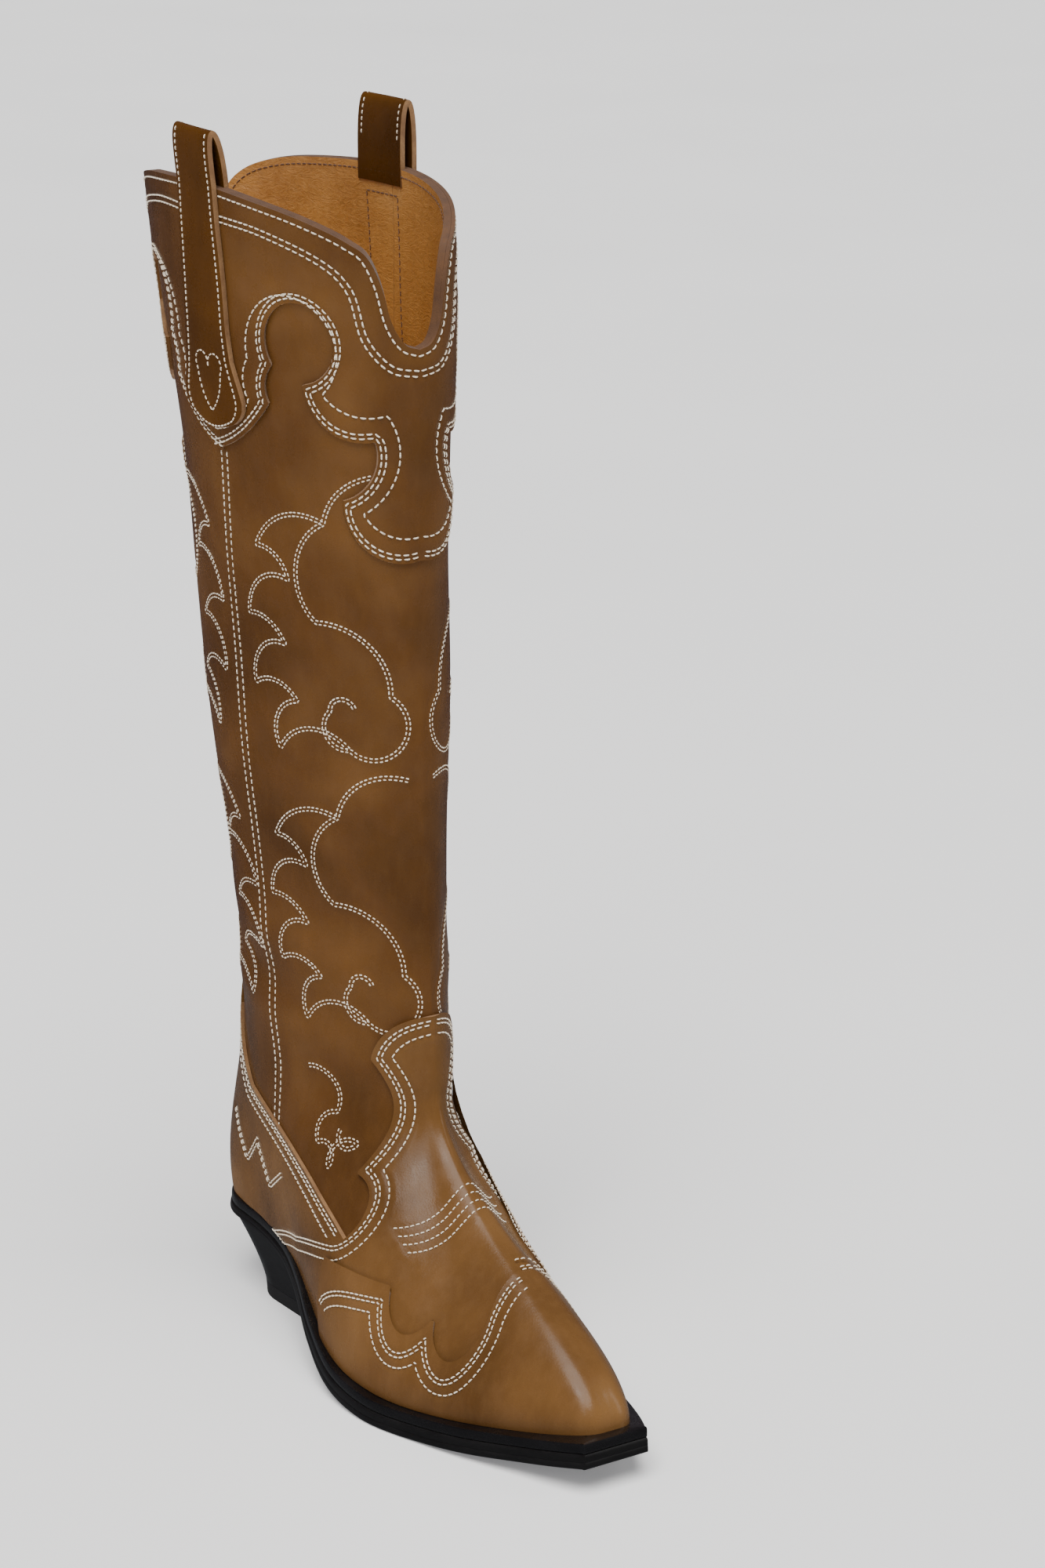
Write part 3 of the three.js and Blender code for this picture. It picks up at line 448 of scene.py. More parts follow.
class Nodes:
    """A small helper for building a material's node tree."""

    def __init__(self, name):
        self.material = bpy.data.materials.new(name)
        self.material.use_nodes = True
        self.tree = self.material.node_tree
        self.shader = self.tree.nodes["Principled BSDF"]
        self.coords = self.add("ShaderNodeTexCoord").outputs["Object"]

    def add(self, kind, **values):
        node = self.tree.nodes.new(kind)
        for key, value in values.items():
            if hasattr(node, key):
                setattr(node, key, value)
            else:
                node.inputs[key.replace("_", " ")].default_value = value
        return node

    def link(self, a, b):
        self.tree.links.new(a, b)

    def noise(self, scale, detail=4.0, rough=0.55, stretch=(1, 1, 1), distortion=0.0):
        mapping = self.add("ShaderNodeMapping")
        mapping.inputs["Scale"].default_value = stretch
        self.link(self.coords, mapping.inputs["Vector"])
        node = self.add("ShaderNodeTexNoise", Scale=scale, Detail=detail, Roughness=rough,
                        Distortion=distortion)
        self.link(mapping.outputs[0], node.inputs["Vector"])
        return node.outputs["Fac"]

    def cells(self, scale, feature="F1"):
        node = self.add("ShaderNodeTexVoronoi", feature=feature, Scale=scale)
        self.link(self.coords, node.inputs["Vector"])
        return node.outputs["Distance"]

    def ramp(self, fac, *stops):
        node = self.add("ShaderNodeValToRGB")
        elements = node.color_ramp.elements
        while len(elements) < len(stops):
            elements.new(0.5)
        for element, (at, colour) in zip(elements, stops):
            element.position = at
            element.color = colour
        self.link(fac, node.inputs["Fac"])
        return node.outputs["Color"]

    def grey(self, fac, low, high, start=0.3, end=0.7):
        node = self.add("ShaderNodeMapRange")
        for key, value in zip(("From Min", "From Max", "To Min", "To Max"), (start, end, low, high)):
            node.inputs[key].default_value = value
        self.link(fac, node.inputs["Value"])
        return node.outputs[0]

    def mix(self, fac, a, b, kind="MIX"):
        node = self.add("ShaderNodeMix", data_type="RGBA", blend_type=kind)
        for socket, value in ((node.inputs[0], fac), (node.inputs[6], a), (node.inputs[7], b)):
            if isinstance(value, (int, float, tuple)):
                socket.default_value = value
            else:
                self.link(value, socket)
        return node.outputs[2]

    def bump(self, *layers):
        """Chained bump from (height, strength, distance in mm) layers."""
        previous = None
        for height, strength, distance in layers:
            node = self.add("ShaderNodeBump", Strength=strength, Distance=distance * MM)
            self.link(height, node.inputs["Height"])
            if previous:
                self.link(previous, node.inputs["Normal"])
            previous = node.outputs["Normal"]
        self.link(previous, self.shader.inputs["Normal"])
        return previous

    def set(self, **values):
        for key, value in values.items():
            socket = self.shader.inputs[key.replace("_", " ")]
            if isinstance(value, (int, float, tuple)):
                socket.default_value = value
            else:
                self.link(value, socket)


def leather(name, deep, body, bright, gloss=0.3, coat=0.08):
    """Burnished calf: cloudy dye, fine pores and soft creases."""
    m = Nodes(name)
    clouds = m.noise(13, 3, 0.5, distortion=0.3)
    mottle = m.noise(95, 5, 0.62)
    streak = m.noise(260, 3, 0.6, stretch=(1, 1, 0.35))
    dye = m.ramp(clouds, (0.25, deep), (0.5, body), (0.78, bright))
    spots = m.ramp(mottle, (0.2, deep), (0.55, body), (0.85, bright))
    colour = m.mix(0.07, dye, spots)
    colour = m.mix(m.grey(streak, 0.0, 0.1, 0.45, 0.75), colour, bright)
    pores = m.cells(1150)
    fine = m.noise(2600, 2, 0.5)
    creases = m.noise(120, 4, 0.5, stretch=(1, 1, 1.6), distortion=0.5)
    m.bump((creases, 0.12, 0.3), (pores, 0.16, 0.14), (fine, 0.14, 0.08))
    m.set(Base_Color=colour, Roughness=m.grey(mottle, gloss - 0.07, gloss + 0.13),
          Specular_IOR_Level=0.18, Coat_Weight=coat, Coat_Roughness=0.16, Coat_IOR=1.45)
    return m.material


def raw_edge(name, colour_a, colour_b):
    """Cut edge of the leather: pale fibres in layers."""
    m = Nodes(name)
    fibre = m.noise(1400, 4, 0.7, stretch=(1, 1, 3))
    patch = m.noise(160, 3)
    colour = m.mix(m.grey(patch, 0, 1), m.ramp(fibre, (0.3, colour_a), (0.7, colour_b)), colour_a)
    m.bump((fibre, 0.6, 0.25))
    m.set(Base_Color=colour, Roughness=m.grey(fibre, 0.6, 0.85), Sheen_Weight=0.15)
    return m.material


def lining_leather(name, deep, body, bright):
    m = Nodes(name)
    clouds = m.noise(22, 5, 0.6)
    fine = m.noise(420, 5, 0.65, stretch=(1, 1, 0.6), distortion=0.8)
    colour = m.mix(0.35, m.ramp(clouds, (0.3, deep), (0.55, body), (0.8, bright)),
                   m.ramp(fine, (0.3, deep), (0.6, body), (0.85, bright)))
    wrinkle = m.noise(150, 5, 0.7, stretch=(1, 1, 2.2), distortion=1.8)
    m.bump((wrinkle, 0.7, 0.9), (m.cells(1500), 0.18, 0.12), (fine, 0.2, 0.1))
    m.set(Base_Color=colour, Roughness=m.grey(fine, 0.36, 0.52), Coat_Weight=0.12, Coat_Roughness=0.3)
    return m.material


def thread_fibre(name, pale, shade):
    m = Nodes(name)
    twist = m.add("ShaderNodeTexWave", Scale=620.0, Distortion=2.0, bands_direction="DIAGONAL")
    m.link(m.coords, twist.inputs["Vector"])
    dirt = m.noise(60, 4)
    clean = m.ramp(twist.outputs["Fac"], (0.1, shade), (0.6, pale))
    colour = m.mix(m.grey(dirt, 0, 0.5, 0.4, 0.8), clean, shade)
    m.bump((twist.outputs["Fac"], 0.5, 0.12))
    m.set(Base_Color=colour, Roughness=m.grey(dirt, 0.5, 0.68), Sheen_Weight=0.3)
    return m.material


def polished_black(name, base, rough, coat):
    m = Nodes(name)
    fine = m.noise(900, 4, 0.6)
    scuff = m.noise(40, 6, 0.7, stretch=(1, 1, 3))
    colour = m.ramp(scuff, (0.3, base), (0.85, tuple(min(1, c * 2.2) for c in base[:3]) + (1,)))
    m.bump((fine, 0.14, 0.15), (scuff, 0.12, 0.6))
    m.set(Base_Color=colour, Roughness=m.grey(scuff, rough - 0.06, rough + 0.12), Coat_Weight=coat,
          Coat_Roughness=0.12, Specular_IOR_Level=0.3)
    return m.material


def plain_textured(name, dark, pale, scale, rough=0.85, metal=0.0, depth=0.4):
    m = Nodes(name)
    grain = m.noise(scale, 5, 0.65)
    m.bump((grain, 0.5, depth))
    m.set(Base_Color=m.ramp(grain, (0.3, dark), (0.75, pale)),
          Roughness=m.grey(grain, rough - 0.1, rough + 0.08), Metallic=metal)
    return m.material


CALF = leather("calf_leather", srgb(62, 38, 15), srgb(88, 57, 26), srgb(116, 80, 40), gloss=0.25)
# The foot pieces take the shaft calf painted lighter: painted light standing in for the stronger light that
# falls on the foot.
CALF_FOOT_PAINTED_LIGHT = leather("calf_leather_foot_painted_light", srgb(70, 45, 20), srgb(100, 69, 36), srgb(134, 98, 58), gloss=0.24)
CALF_STRAP = leather("calf_leather_strap", srgb(58, 33, 6), srgb(80, 48, 9), srgb(102, 66, 16), gloss=0.27)
RIM = raw_edge("leather_rim_edge", srgb(74, 44, 16), srgb(104, 66, 28))
EDGE = raw_edge("leather_raw_edge", srgb(112, 76, 40), srgb(158, 120, 76))
LINING_SKIN = lining_leather("lining_leather", srgb(160, 106, 46), srgb(200, 142, 72), srgb(224, 172, 104))
CREAM = thread_fibre("thread_cream", srgb(250, 241, 224), srgb(206, 184, 152))
BROWN_THREAD = thread_fibre("thread_brown", srgb(112, 70, 34), srgb(70, 42, 20))
SOLE_EDGE = polished_black("sole_edge_black", srgb(11, 10, 10), 0.36, 0.1)
WELT_BLACK = polished_black("welt_gloss_black", srgb(9, 8, 9), 0.24, 0.25)
HEEL_BLACK = polished_black("heel_stack_black", srgb(11, 10, 10), 0.33, 0.12)
RUBBER = plain_textured("top_lift_rubber", srgb(16, 16, 16), srgb(34, 33, 32), 1500, rough=0.6, depth=0.15)
SOLE_FACE = plain_textured("sole_face_black", srgb(20, 19, 18), srgb(40, 37, 34), 380, rough=0.55, depth=0.3)


# ---------------------------------------------------------------- outlines drawn on the flat leather
# Shaft outlines: distance round from the panel's centre line, height, and how far the arc that leads there
# rises left of its chord. TOP_BAND is one smooth curve through its points.
COLLAR = [(102, 386), (66, 411, 4), (64, 427, -3), (49, 421, -31), (18, 400, 8), (31, 375, -6),
          (0.5, 350, 10)]
COLLAR_SPACED = [(102, 395), (77, 411, 4), (77, 428, -3), (39, 418, -34), (13, 411, 4), (22, 370, -9),
                 (0.5, 360, 4)]
TOP_BAND = [(102, 481.5), (70, 479.5), (42, 472), (28, 461), (22, 441), (12, 429), (0.5, 426)]

# One flame scroll in general western style, (distance round, height): a stem that ends in a curl, with
# four tongues of flame behind it. It is used twice on each half panel, the lower one smaller.
STEM = [(6, 0), (40, -20, 9), (44, -62, 12), (12, -92, -10), (30, -116, -16), (38, -100, -7), (27, -98, -5)]
FLAMES = [(40, -20), (76, -34, 8), (58, -46, -4), (82, -64, 8), (60, -74, -4), (78, -94, 8), (54, -98, -5),
          (64, -120, 7), (30, -116, -9)]
SCROLLS = [[(s * size, top + z * size, *(v * size for v in rise)) for s, z, *rise in line]
           for top, size in ((384, 1.0), (256, 0.92)) for line in (STEM, FLAMES)]
STRAP_HEART = [(13.5, 403), (5, 419, 2), (13.5, 421, 7), (22, 419, 7), (13.5, 403, 2)]

# Foot outlines from the side, (y, height), and the toe overlay and instep bars from above, (x, y)
VAMP = [(-58, 155), (-40, 134, 4), (-46, 88, -7), (-46, 60, -12), (-10, 51, 1), (36, 34, 2)]
COUNTER = [(75, 153), (66, 142, 1), (38, 101, 3), (-64, 58, -3)]
COUNTER_ZIGZAG = [(58, 84), (44, 66), (32, 79), (20, 62), (6, 72)]
TOE_WING = [(-43, -26), (-38, -86, -5), (-32, -110, -8), (-18, -130, -12), (-1.5, -127, 1)]
INSTEP_BARS = [[(-27, -71 - 3.6 * k), (19, -72 - 3.6 * k, -11)] for k in range(4)]
ANKLE_CURL = [(-8, 124), (-26, 108, -7), (-20, 94, 5), (-30, 86, -5), (-40, 98, -6), (-30, 102, -5)]


def foot_axis(points):
    """x of the middle of the boot at each point, to mirror outlines on to the inner side."""
    y, z = points[:, 1], points[:, 2]
    flat = np.interp(y, [-125, -105, -80, -55, -30, 0, 30, 60], [-1.5, -3.5, -6.5, -8, -6.5, -4, 1, 2.5])
    return flat + (2 - flat) * np.clip((z - 60) / 60, 0, 1)


def foot_row(outline, side, from_above=False):
    """An outline thrown on to the foot, from its own side or from above; the inner side is a mirror image."""
    found = []
    for a, b in arcs(outline):
        if from_above:
            x = a if side > 0 else 2 * float(foot_axis(np.array([[0, b, 60]]))[0]) - a
            hit = TREE.ray_cast(Vector((x, b, 190)), Vector((0, 0, -1)))[0]
        else:
            hit = TREE.ray_cast(Vector((-150 * side, a, b)), Vector((side, 0, 0)))[0]
        if hit is not None:
            found.append(hit)
    found = resample(np.array(found, float), 0.8)
    return snap(found)


def downhill(row, distance, towards):
    """The inset on the side that lies nearer to a point."""
    options = [inset(*row, distance), inset(*row, -distance)]
    gaps = [np.linalg.norm(p.mean(0) - towards) for p, _ in options]
    return options[int(np.argmin(gaps))]


def own_side(row, side):
    """The part of a row on its own side of the boot's middle."""
    points, normals = row
    keep = (points[:, 0] - foot_axis(points)) * -side > 0.4
    return points[keep], normals[keep]


# ---------------------------------------------------------------- rows of stitching
def shaft_rows(curve, offsets, back, side):
    base = chart_row(curve, side, back)
    return [base if d == 0 else inset(*base, d) for d in offsets]


def both_ways(curve, offsets):
    """Rows beside a curve on the front and back panels, on both sides of each."""
    rows = []
    for back in (False, True):
        for side in (1, -1):
            rows += shaft_rows(curve, [d * side * (-1 if back else 1) for d in offsets], back, side)
    return rows


ON_COVER = OVERLAY + 0.12
INSIDE_FACE = -(LEATHER + LINING) - 0.12
WIDE = dict(pitch=3.3, dash=2.5, radius=0.36)
FINE = dict(pitch=2.2, dash=1.65, radius=0.33)
EDGE_ROW = dict(pitch=2.9, dash=2.2, radius=0.35, offset=ON_COVER)
LINING_ROW = dict(pitch=3.1, dash=2.2, radius=0.3, offset=INSIDE_FACE)

scroll_rows = [row for outline in SCROLLS for row in both_ways(arcs(outline), [-0.75, 0.75])]
for one_side in (1, -1):
    curl = foot_row(ANKLE_CURL, one_side)
    scroll_rows += [inset(*curl, 0.75), inset(*curl, -0.75)]
stitch("scroll_stitching", scroll_rows, CREAM, **FINE)
stitch("top_band_stitching", both_ways(bend(TOP_BAND), [0, 2.4]), CREAM, offset=ON_COVER, **WIDE)
stitch("collar_spaced_stitching", both_ways(arcs(COLLAR_SPACED), [0]), CREAM, offset=ON_COVER, **WIDE)

collar_rows = []
for is_back in (False, True):
    for one_side in (1, -1):
        edge = chart_row(arcs(COLLAR), one_side, is_back)
        for gap_mm in (1.9, 3.7):
            collar_rows.append(downhill(edge, gap_mm, edge[0].mean(0) + [0, 0, 60]))
stitch("collar_edge_stitching", collar_rows, CREAM, offset=ON_COVER, **WIDE)

SHAFT_MIDDLE = np.array([-13, 20, 300])
rim_degs = np.linspace(-180, 180, 721)
rim = snap(shaft_point(top_z(rim_degs) - 0.01, rim_degs))
stitch("rim_stitching", [downhill(rim, 2.6, SHAFT_MIDDLE)], CREAM, offset=ON_COVER, **WIDE)

stitch("rim_lining_stitching", [downhill(rim, 2.9, SHAFT_MIDDLE)], BROWN_THREAD, **LINING_ROW)

tail_rows = []
for one_side in (1, -1):
    for y_edge in (6.0, 28.0):
        heights = np.arange(422, 483, 0.8)
        ring_degs = np.linspace(60, 120, 181)
        rings = shaft_point(heights[:, None], one_side * ring_degs[None, :])
        degs_there = np.array([np.interp(y_edge, row, ring_degs) for row in rings[..., 1]])
        tail_rows.append(snap(shaft_point(heights, one_side * degs_there)))
    crossing = np.linspace(tail_rows[-2][0][-1], tail_rows[-1][0][-1], 30)
    tail_rows.append(snap(crossing))
stitch("strap_tail_stitching", tail_rows, BROWN_THREAD, **LINING_ROW)

SEAM_LEAD = np.array([[120, 4.5], [200, 4.5], [260, 3], [330, 1], [400, 0]], float)


def seam_y(z):
    return along(SHAFT, 2, z) - along(SEAM_LEAD, 1, z)


def seam_row(side, shift, z_from, z_to):
    z = np.linspace(z_from, z_to, int(abs(z_to - z_from) / 0.8))
    ring = shaft_point(z[:, None], side * np.linspace(60, 120, 181)[None, :])
    y = ring[..., 1]
    want = seam_y(z) + shift
    deg = np.array([np.interp(w, row, np.linspace(60, 120, 181)) for w, row in zip(want, y)])
    return snap(shaft_point(z, side * deg))


stitch("side_seam_stitching", [seam_row(side, shift, 84, 386) for side in (1, -1)
                               for shift in (-2.1, 2.1)], CREAM, pitch=3.1, dash=2.4, radius=0.34)

vamp_edge = {side: foot_row(VAMP, side) for side in (1, -1)}
counter_edge = {side: foot_row(COUNTER, side) for side in (1, -1)}
wing_edge = {side: foot_row(TOE_WING, side, True) for side in (1, -1)}
TOE_SIDE = np.array([-3.0, -130, 45])
HEEL_SIDE = np.array([2.5, 60, 60])
vamp_rows, counter_rows, wing_rows = [], [], []


def clear_of_vamp(row):
    """The part of a row on the counter that the vamp's wing doesn't cover."""
    points, normals = row
    # These are points of the vamp's edge as it was before it was redrawn
    wing_top = np.interp(points[:, 1], [-48, -36, -24, -8, 10, 24, 36], [60, 58.5, 56, 50, 43, 38.5, 34])
    keep = (points[:, 1] > -49) & (points[:, 2] > wing_top + 1)
    return points[keep], normals[keep]


for one_side in (1, -1):
    for gap_mm in (1.8, 3.5, 7.6):
        vamp_rows.append(own_side(downhill(vamp_edge[one_side], gap_mm, TOE_SIDE), one_side))
        wing_rows.append(own_side(downhill(wing_edge[one_side], gap_mm, TOE_SIDE + [0, -40, 0]), one_side))
        counter_rows.append(clear_of_vamp(downhill(counter_edge[one_side], gap_mm, HEEL_SIDE + [0, 0, -30])))
    zigzag = foot_row(COUNTER_ZIGZAG, one_side)
    counter_rows += [zigzag, downhill(zigzag, 1.8, HEEL_SIDE + [0, 0, -30])]
bar_rows = [foot_row(bar, 1, True) for bar in INSTEP_BARS]
stitch("vamp_edge_stitching", vamp_rows, CREAM, **EDGE_ROW)
stitch("counter_stitching", counter_rows, CREAM, **EDGE_ROW)
stitch("instep_bar_stitching", bar_rows, CREAM, offset=ON_COVER, pitch=2.3, dash=1.75, radius=0.33)
stitch("toe_wing_stitching", wing_rows, CREAM, offset=2 * OVERLAY + 0.25, pitch=2.6, dash=2.0, radius=0.34)


# ---------------------------------------------------------------- cutting leather pieces out of shells
def prism(outline, near, far):
    """Closed cutter between two placings of one outline."""
    flat = bmesh.new()
    flat.faces.new([flat.verts.new((a, b, 0)) for a, b in outline])
    flat.verts.index_update()
    bmesh.ops.triangulate(flat, faces=flat.faces)
    caps = [[v.index for v in f.verts] for f in flat.faces]
    flat.free()
    n = len(outline)
    points = np.concatenate([near, far])
    faces = caps + [[i + n for i in reversed(c)] for c in caps]
    faces += [[i, (i + 1) % n, (i + 1) % n + n, i + n] for i in range(n)]
    return face_outwards(new_object("cutter", points, faces))


def without_repeats(outline, least=0.15):
    """The outline without points that nearly coincide."""
    kept = [outline[0]]
    for point in outline[1:]:
        if math.dist(point, kept[-1]) > least and math.dist(point, kept[0]) > least:
            kept.append(point)
    return np.array(kept, float)


def side_prism(outline, x_from=-150, x_to=150):
    outline = without_repeats(outline)
    place_ = lambda x: np.column_stack([np.full(len(outline), x), outline])
    return prism(outline, place_(x_from), place_(x_to))


def plan_prism(outline, z_from=-20, z_to=120):
    outline = without_repeats(outline)
    place_ = lambda z: np.column_stack([outline, np.full(len(outline), z)])
    return prism(outline, place_(z_from), place_(z_to))


def wall_prism(outline):
    """Cutter through the shaft wall from a (turning angle, height) outline."""
    outline = without_repeats(outline)
    wall = shaft_point(np.minimum(outline[:, 1], 525), outline[:, 0])
    axis = np.array([-8, 18, 0])
    place_ = lambda k: np.column_stack([(axis + (wall - axis) * k)[:, :2], outline[:, 1]])
    return prism(outline, place_(2.6), place_(0.35))


def cut(body, cutter, operation):
    modifier = body.modifiers.new("cut", "BOOLEAN")
    modifier.operation = operation
    modifier.solver = "MANIFOLD"
    modifier.object = cutter
    bpy.context.view_layer.update()
    graph = bpy.context.evaluated_depsgraph_get()
    mesh = bpy.data.meshes.new_from_object(body.evaluated_get(graph))
    if len(mesh.polygons) == 0:
        modifier.solver = "EXACT"
        graph = bpy.context.evaluated_depsgraph_get()
        mesh = bpy.data.meshes.new_from_object(body.evaluated_get(graph))
    body.modifiers.clear()
    body.data = mesh
    bpy.data.objects.remove(cutter)
    return body


def copy_of(body, name):
    twin = body.copy()
    twin.data = body.data.copy()
    twin.name = name
    bpy.context.scene.collection.objects.link(twin)
    return twin


def tree_of(points):
    tree = KDTree(len(points))
    for number, point in enumerate(points):
        tree.insert(Vector(point), number)
    tree.balance()
    return tree


SINK_TREE = tree_of(np.concatenate(SINKS))
RIM_TREE = tree_of(rim[0])


def finish_leather(body, name, skin, slot, nodes, base, edge=EDGE, sink=0.28):
    """Gives cut faces the raw edge, presses the leather down along its seams, and sets it riding."""
    mesh = body.data
    body.name = name
    mesh.name = name
    mesh.materials.clear()
    mesh.materials.append(skin)
    mesh.materials.append(edge)
    mesh.materials.append(RIM)
    for poly in mesh.polygons:
        _, normal, _, _ = TREE.find_nearest(poly.center / MM)
        on_rim = poly.center.z > 425 * MM and RIM_TREE.find(poly.center / MM)[2] < 4.8
        poly.material_index = 0 if abs(normal.dot(poly.normal)) > 0.5 else 2 if on_rim else 1
        poly.use_smooth = True
    if sink:
        for vertex in mesh.vertices:
            spot = vertex.co / MM
            near, normal, _, away = TREE.find_nearest(spot)
            if away < base - 0.35:
                continue
            _, _, gap = SINK_TREE.find(spot)
            if gap < 4.5:
                if normal.dot(spot - near) < 0:
                    normal = -normal
                press = sink * math.exp(-((gap / 0.9) ** 2)) - 0.12 * math.exp(-(((gap - 2.4) / 1.0) ** 2))
                vertex.co -= normal * press * MM
    mesh.set_sharp_from_angle(angle=math.radians(38))
    mesh.update()
    return place(body, slot, *nodes)


foot_rows = len(FOOT_T)
shaft_skin = shell("shaft_skin", -LEATHER, 0.0, slice(40, None))
seam_heights = [40, 120, 160, 200, 260, 330, 400, 470, 560]
seam_line = [(float(seam_y(max(z, 120))), z) for z in seam_heights]


def keep_half(skin, far, gap):
    """Keeps the part of a skin in front of the side seams (far y under 0) or behind them (far y over 0)."""
    cut(skin, side_prism([(far, 40)] + [(y + gap, z) for y, z in seam_line] + [(far, 560)]), "INTERSECT")


FRONT_HALF, BACK_HALF = (-300, -0.1), (300, 0.1)
front_shaft = copy_of(shaft_skin, "shaft_front")
keep_half(front_shaft, *FRONT_HALF)
keep_half(shaft_skin, *BACK_HALF)
finish_leather(front_shaft, "shaft_front_leather", CALF, "leather_brown", ["shaft_front_panel"], 0.0)
finish_leather(shaft_skin, "shaft_back_leather", CALF, "leather_brown", ["shaft_back_panel"], 0.0)

lining_skin = shell("lining_skin", -LEATHER - LINING, -LEATHER, slice(60, None))
back_lining = copy_of(lining_skin, "lining_back")
keep_half(lining_skin, *FRONT_HALF)
keep_half(back_lining, *BACK_HALF)
finish_leather(lining_skin, "shaft_lining_front_leather", LINING_SKIN, "lining_tan", ["shaft_lining_front"],
               0, sink=0)
finish_leather(back_lining, "shaft_lining_back_leather", LINING_SKIN, "lining_tan", ["shaft_lining_back"], 0,
               sink=0)

cover_top = shell("cover_top", 0.0, OVERLAY, slice(foot_rows + 100, None))
for is_back, name, node in ((False, "collar_front_leather", "collar_front"),
                            (True, "collar_back_leather", "collar_back")):
    rim_piece = copy_of(cover_top, name)
    outline = []
    fine_edge = arcs(COLLAR, 1.0)
    if is_back:
        deg, z = chart(fine_edge, 1, False)
        fine_edge[:, 1] += (top_z(180 - deg) - top_z(deg)) * np.clip((fine_edge[:, 1] - 395) / 50, 0, 1)
    deg, z = chart(fine_edge, 1, is_back)
    centre = 180 if is_back else 0
    limit = np.maximum(deg, 90.15) if is_back else np.minimum(deg, 89.85)
    half_outline = list(zip(limit, z))
    other = [(2 * centre - a, h) for a, h in reversed(half_outline)]
    start, end = half_outline[0][0], other[-1][0]
    roof = [(float(a), 530) for a in np.linspace(end, start, 9)]
    cut(rim_piece, wall_prism(half_outline + other[1:] + roof), "INTERSECT")
    finish_leather(rim_piece, name, CALF, "leather_brown", [node], OVERLAY)
bpy.data.objects.remove(cover_top)

cover_foot = shell("cover_foot", 0.0, OVERLAY, slice(0, foot_rows + 35))
MIDDLE_X = 2.0
vamp_piece = copy_of(cover_foot, "vamp_leather")
counter_piece = copy_of(cover_foot, "counter_leather")
for one_side in (1, -1):
    x_range = (-150, MIDDLE_X + 0.03) if one_side > 0 else (MIDDLE_X - 0.03, 150)
    front = [(q[1], q[2]) for q in vamp_edge[one_side][0][::2]]
    rear = [(q[1], q[2]) for q in counter_edge[one_side][0][::2]]
    behind = [(-100, front[0][1])] + front + [(36, 8), (200, 8), (200, 250), (-100, 250)]
    cut(vamp_piece, side_prism(behind, *x_range), "DIFFERENCE")
    above = rear + [(-300, 58), (-300, 250), (200, 250), (200, rear[0][1])]
    cut(counter_piece, side_prism(above, *x_range), "DIFFERENCE")
    ahead = [(-100, front[0][1])] + front + [(36, 8), (-300, 8), (-300, front[0][1])]
    cut(counter_piece, side_prism(ahead, *x_range), "DIFFERENCE")
finish_leather(vamp_piece, "vamp_leather", CALF_FOOT_PAINTED_LIGHT, "leather_brown", ["vamp"], OVERLAY)
finish_leather(counter_piece, "counter_leather", CALF_FOOT_PAINTED_LIGHT, "leather_brown", ["heel_counter_cover"], OVERLAY)
bpy.data.objects.remove(cover_foot)

# The front line still follows the vamp's edge as it was before it was redrawn
BACKING = [(-215, -20), (-215, 155), (-64, 149), (-55, 144), (-48, 136), (-47, 127), (-53, 115), (-55, 104),
           (-54, 95), (-50, 88), (-58, 79), (-63, 72), (-60, 60), (-44, 54), (-26, 50), (-10, 47), (-10, -20)]
backing = shell("backing", -LEATHER, -0.15, slice(0, foot_rows + 20))
cut(backing, side_prism(BACKING), "INTERSECT")
TWILL = plain_textured("backing_twill", srgb(190, 166, 124), srgb(214, 194, 156), 1500)
finish_leather(backing, "vamp_backing_twill", TWILL, "backing_cloth", ["vamp_backing", "toe_puff"],
               0, edge=TWILL, sink=0)
cut(front_shaft, side_prism([(y + 0.3, z) for y, z in BACKING]), "DIFFERENCE")

toe_skin = shell("toe_skin", OVERLAY, 2 * OVERLAY, slice(0, foot_rows))
outer, inner = wing_edge[1][0], wing_edge[-1][0]
toe_outline = ([(-90, -24)] + [(q[0], q[1]) for q in outer[::2]] + [(q[0], q[1]) for q in inner[::-2]]
               + [(90, -24), (90, -230), (-90, -230)])
cut(toe_skin, plan_prism(toe_outline), "INTERSECT")
finish_leather(toe_skin, "toe_wing_leather", CALF_FOOT_PAINTED_LIGHT, "leather_brown", ["toe_wing_overlay"], 2 * OVERLAY)


# ---------------------------------------------------------------- sole, welt and heel
HEEL_X, HEEL_ARC_Y, HEEL_R = 3.0, 54.0, 31.0


def sole_stations():
    front = np.linspace(-200, HEEL_ARC_Y, 150)
    angles = np.radians(np.linspace(4, 89.4, 26))
    y = np.concatenate([front, HEEL_ARC_Y + HEEL_R * np.sin(angles)])
    left = np.concatenate([-along(SOLE, 1, front), HEEL_X - HEEL_R * np.cos(angles)])
    right = np.concatenate([along(SOLE, 2, front), HEEL_X + HEEL_R * np.cos(angles)])
    return y, left, right


def sole_ring(inset_mm):
    """Closed outline: the outer side from toe to heel, then the inner side back, moved in by so many mm."""
    y, left, right = sole_stations()
    ring = np.concatenate([np.stack([left, y], 1), np.stack([right, y], 1)[::-1]])
    t = np.roll(ring, -1, 0) - np.roll(ring, 1, 0)
    t /= np.linalg.norm(t, axis=1, keepdims=True)
    return ring + np.stack([t[:, 1], -t[:, 0]], 1) * inset_mm


def stack_solid(name, rings, materials, side_index=0, cap_index=0):
    """Solid from a stack of same-length rings (outer side forward, inner side back) with strip caps."""
    n = len(rings[0])
    half = n // 2
    points = np.concatenate(rings)
    faces, indices = [], []
    for f in grid_faces(len(rings), n, wrap=True):
        faces.append(f)
        indices.append(side_index)
    for first, flip in ((0, False), ((len(rings) - 1) * n, True)):
        for i in range(half - 1):
            quad = [first + i, first + i + 1, first + n - 2 - i, first + n - 1 - i]
            faces.append(quad if not flip else quad[::-1])
            indices.append(cap_index)
    return face_outwards(new_object(name, points, faces, materials, indices), sharp=40)


def with_height(ring, z_of_y):
    return np.column_stack([ring, z_of_y(ring[:, 1])])


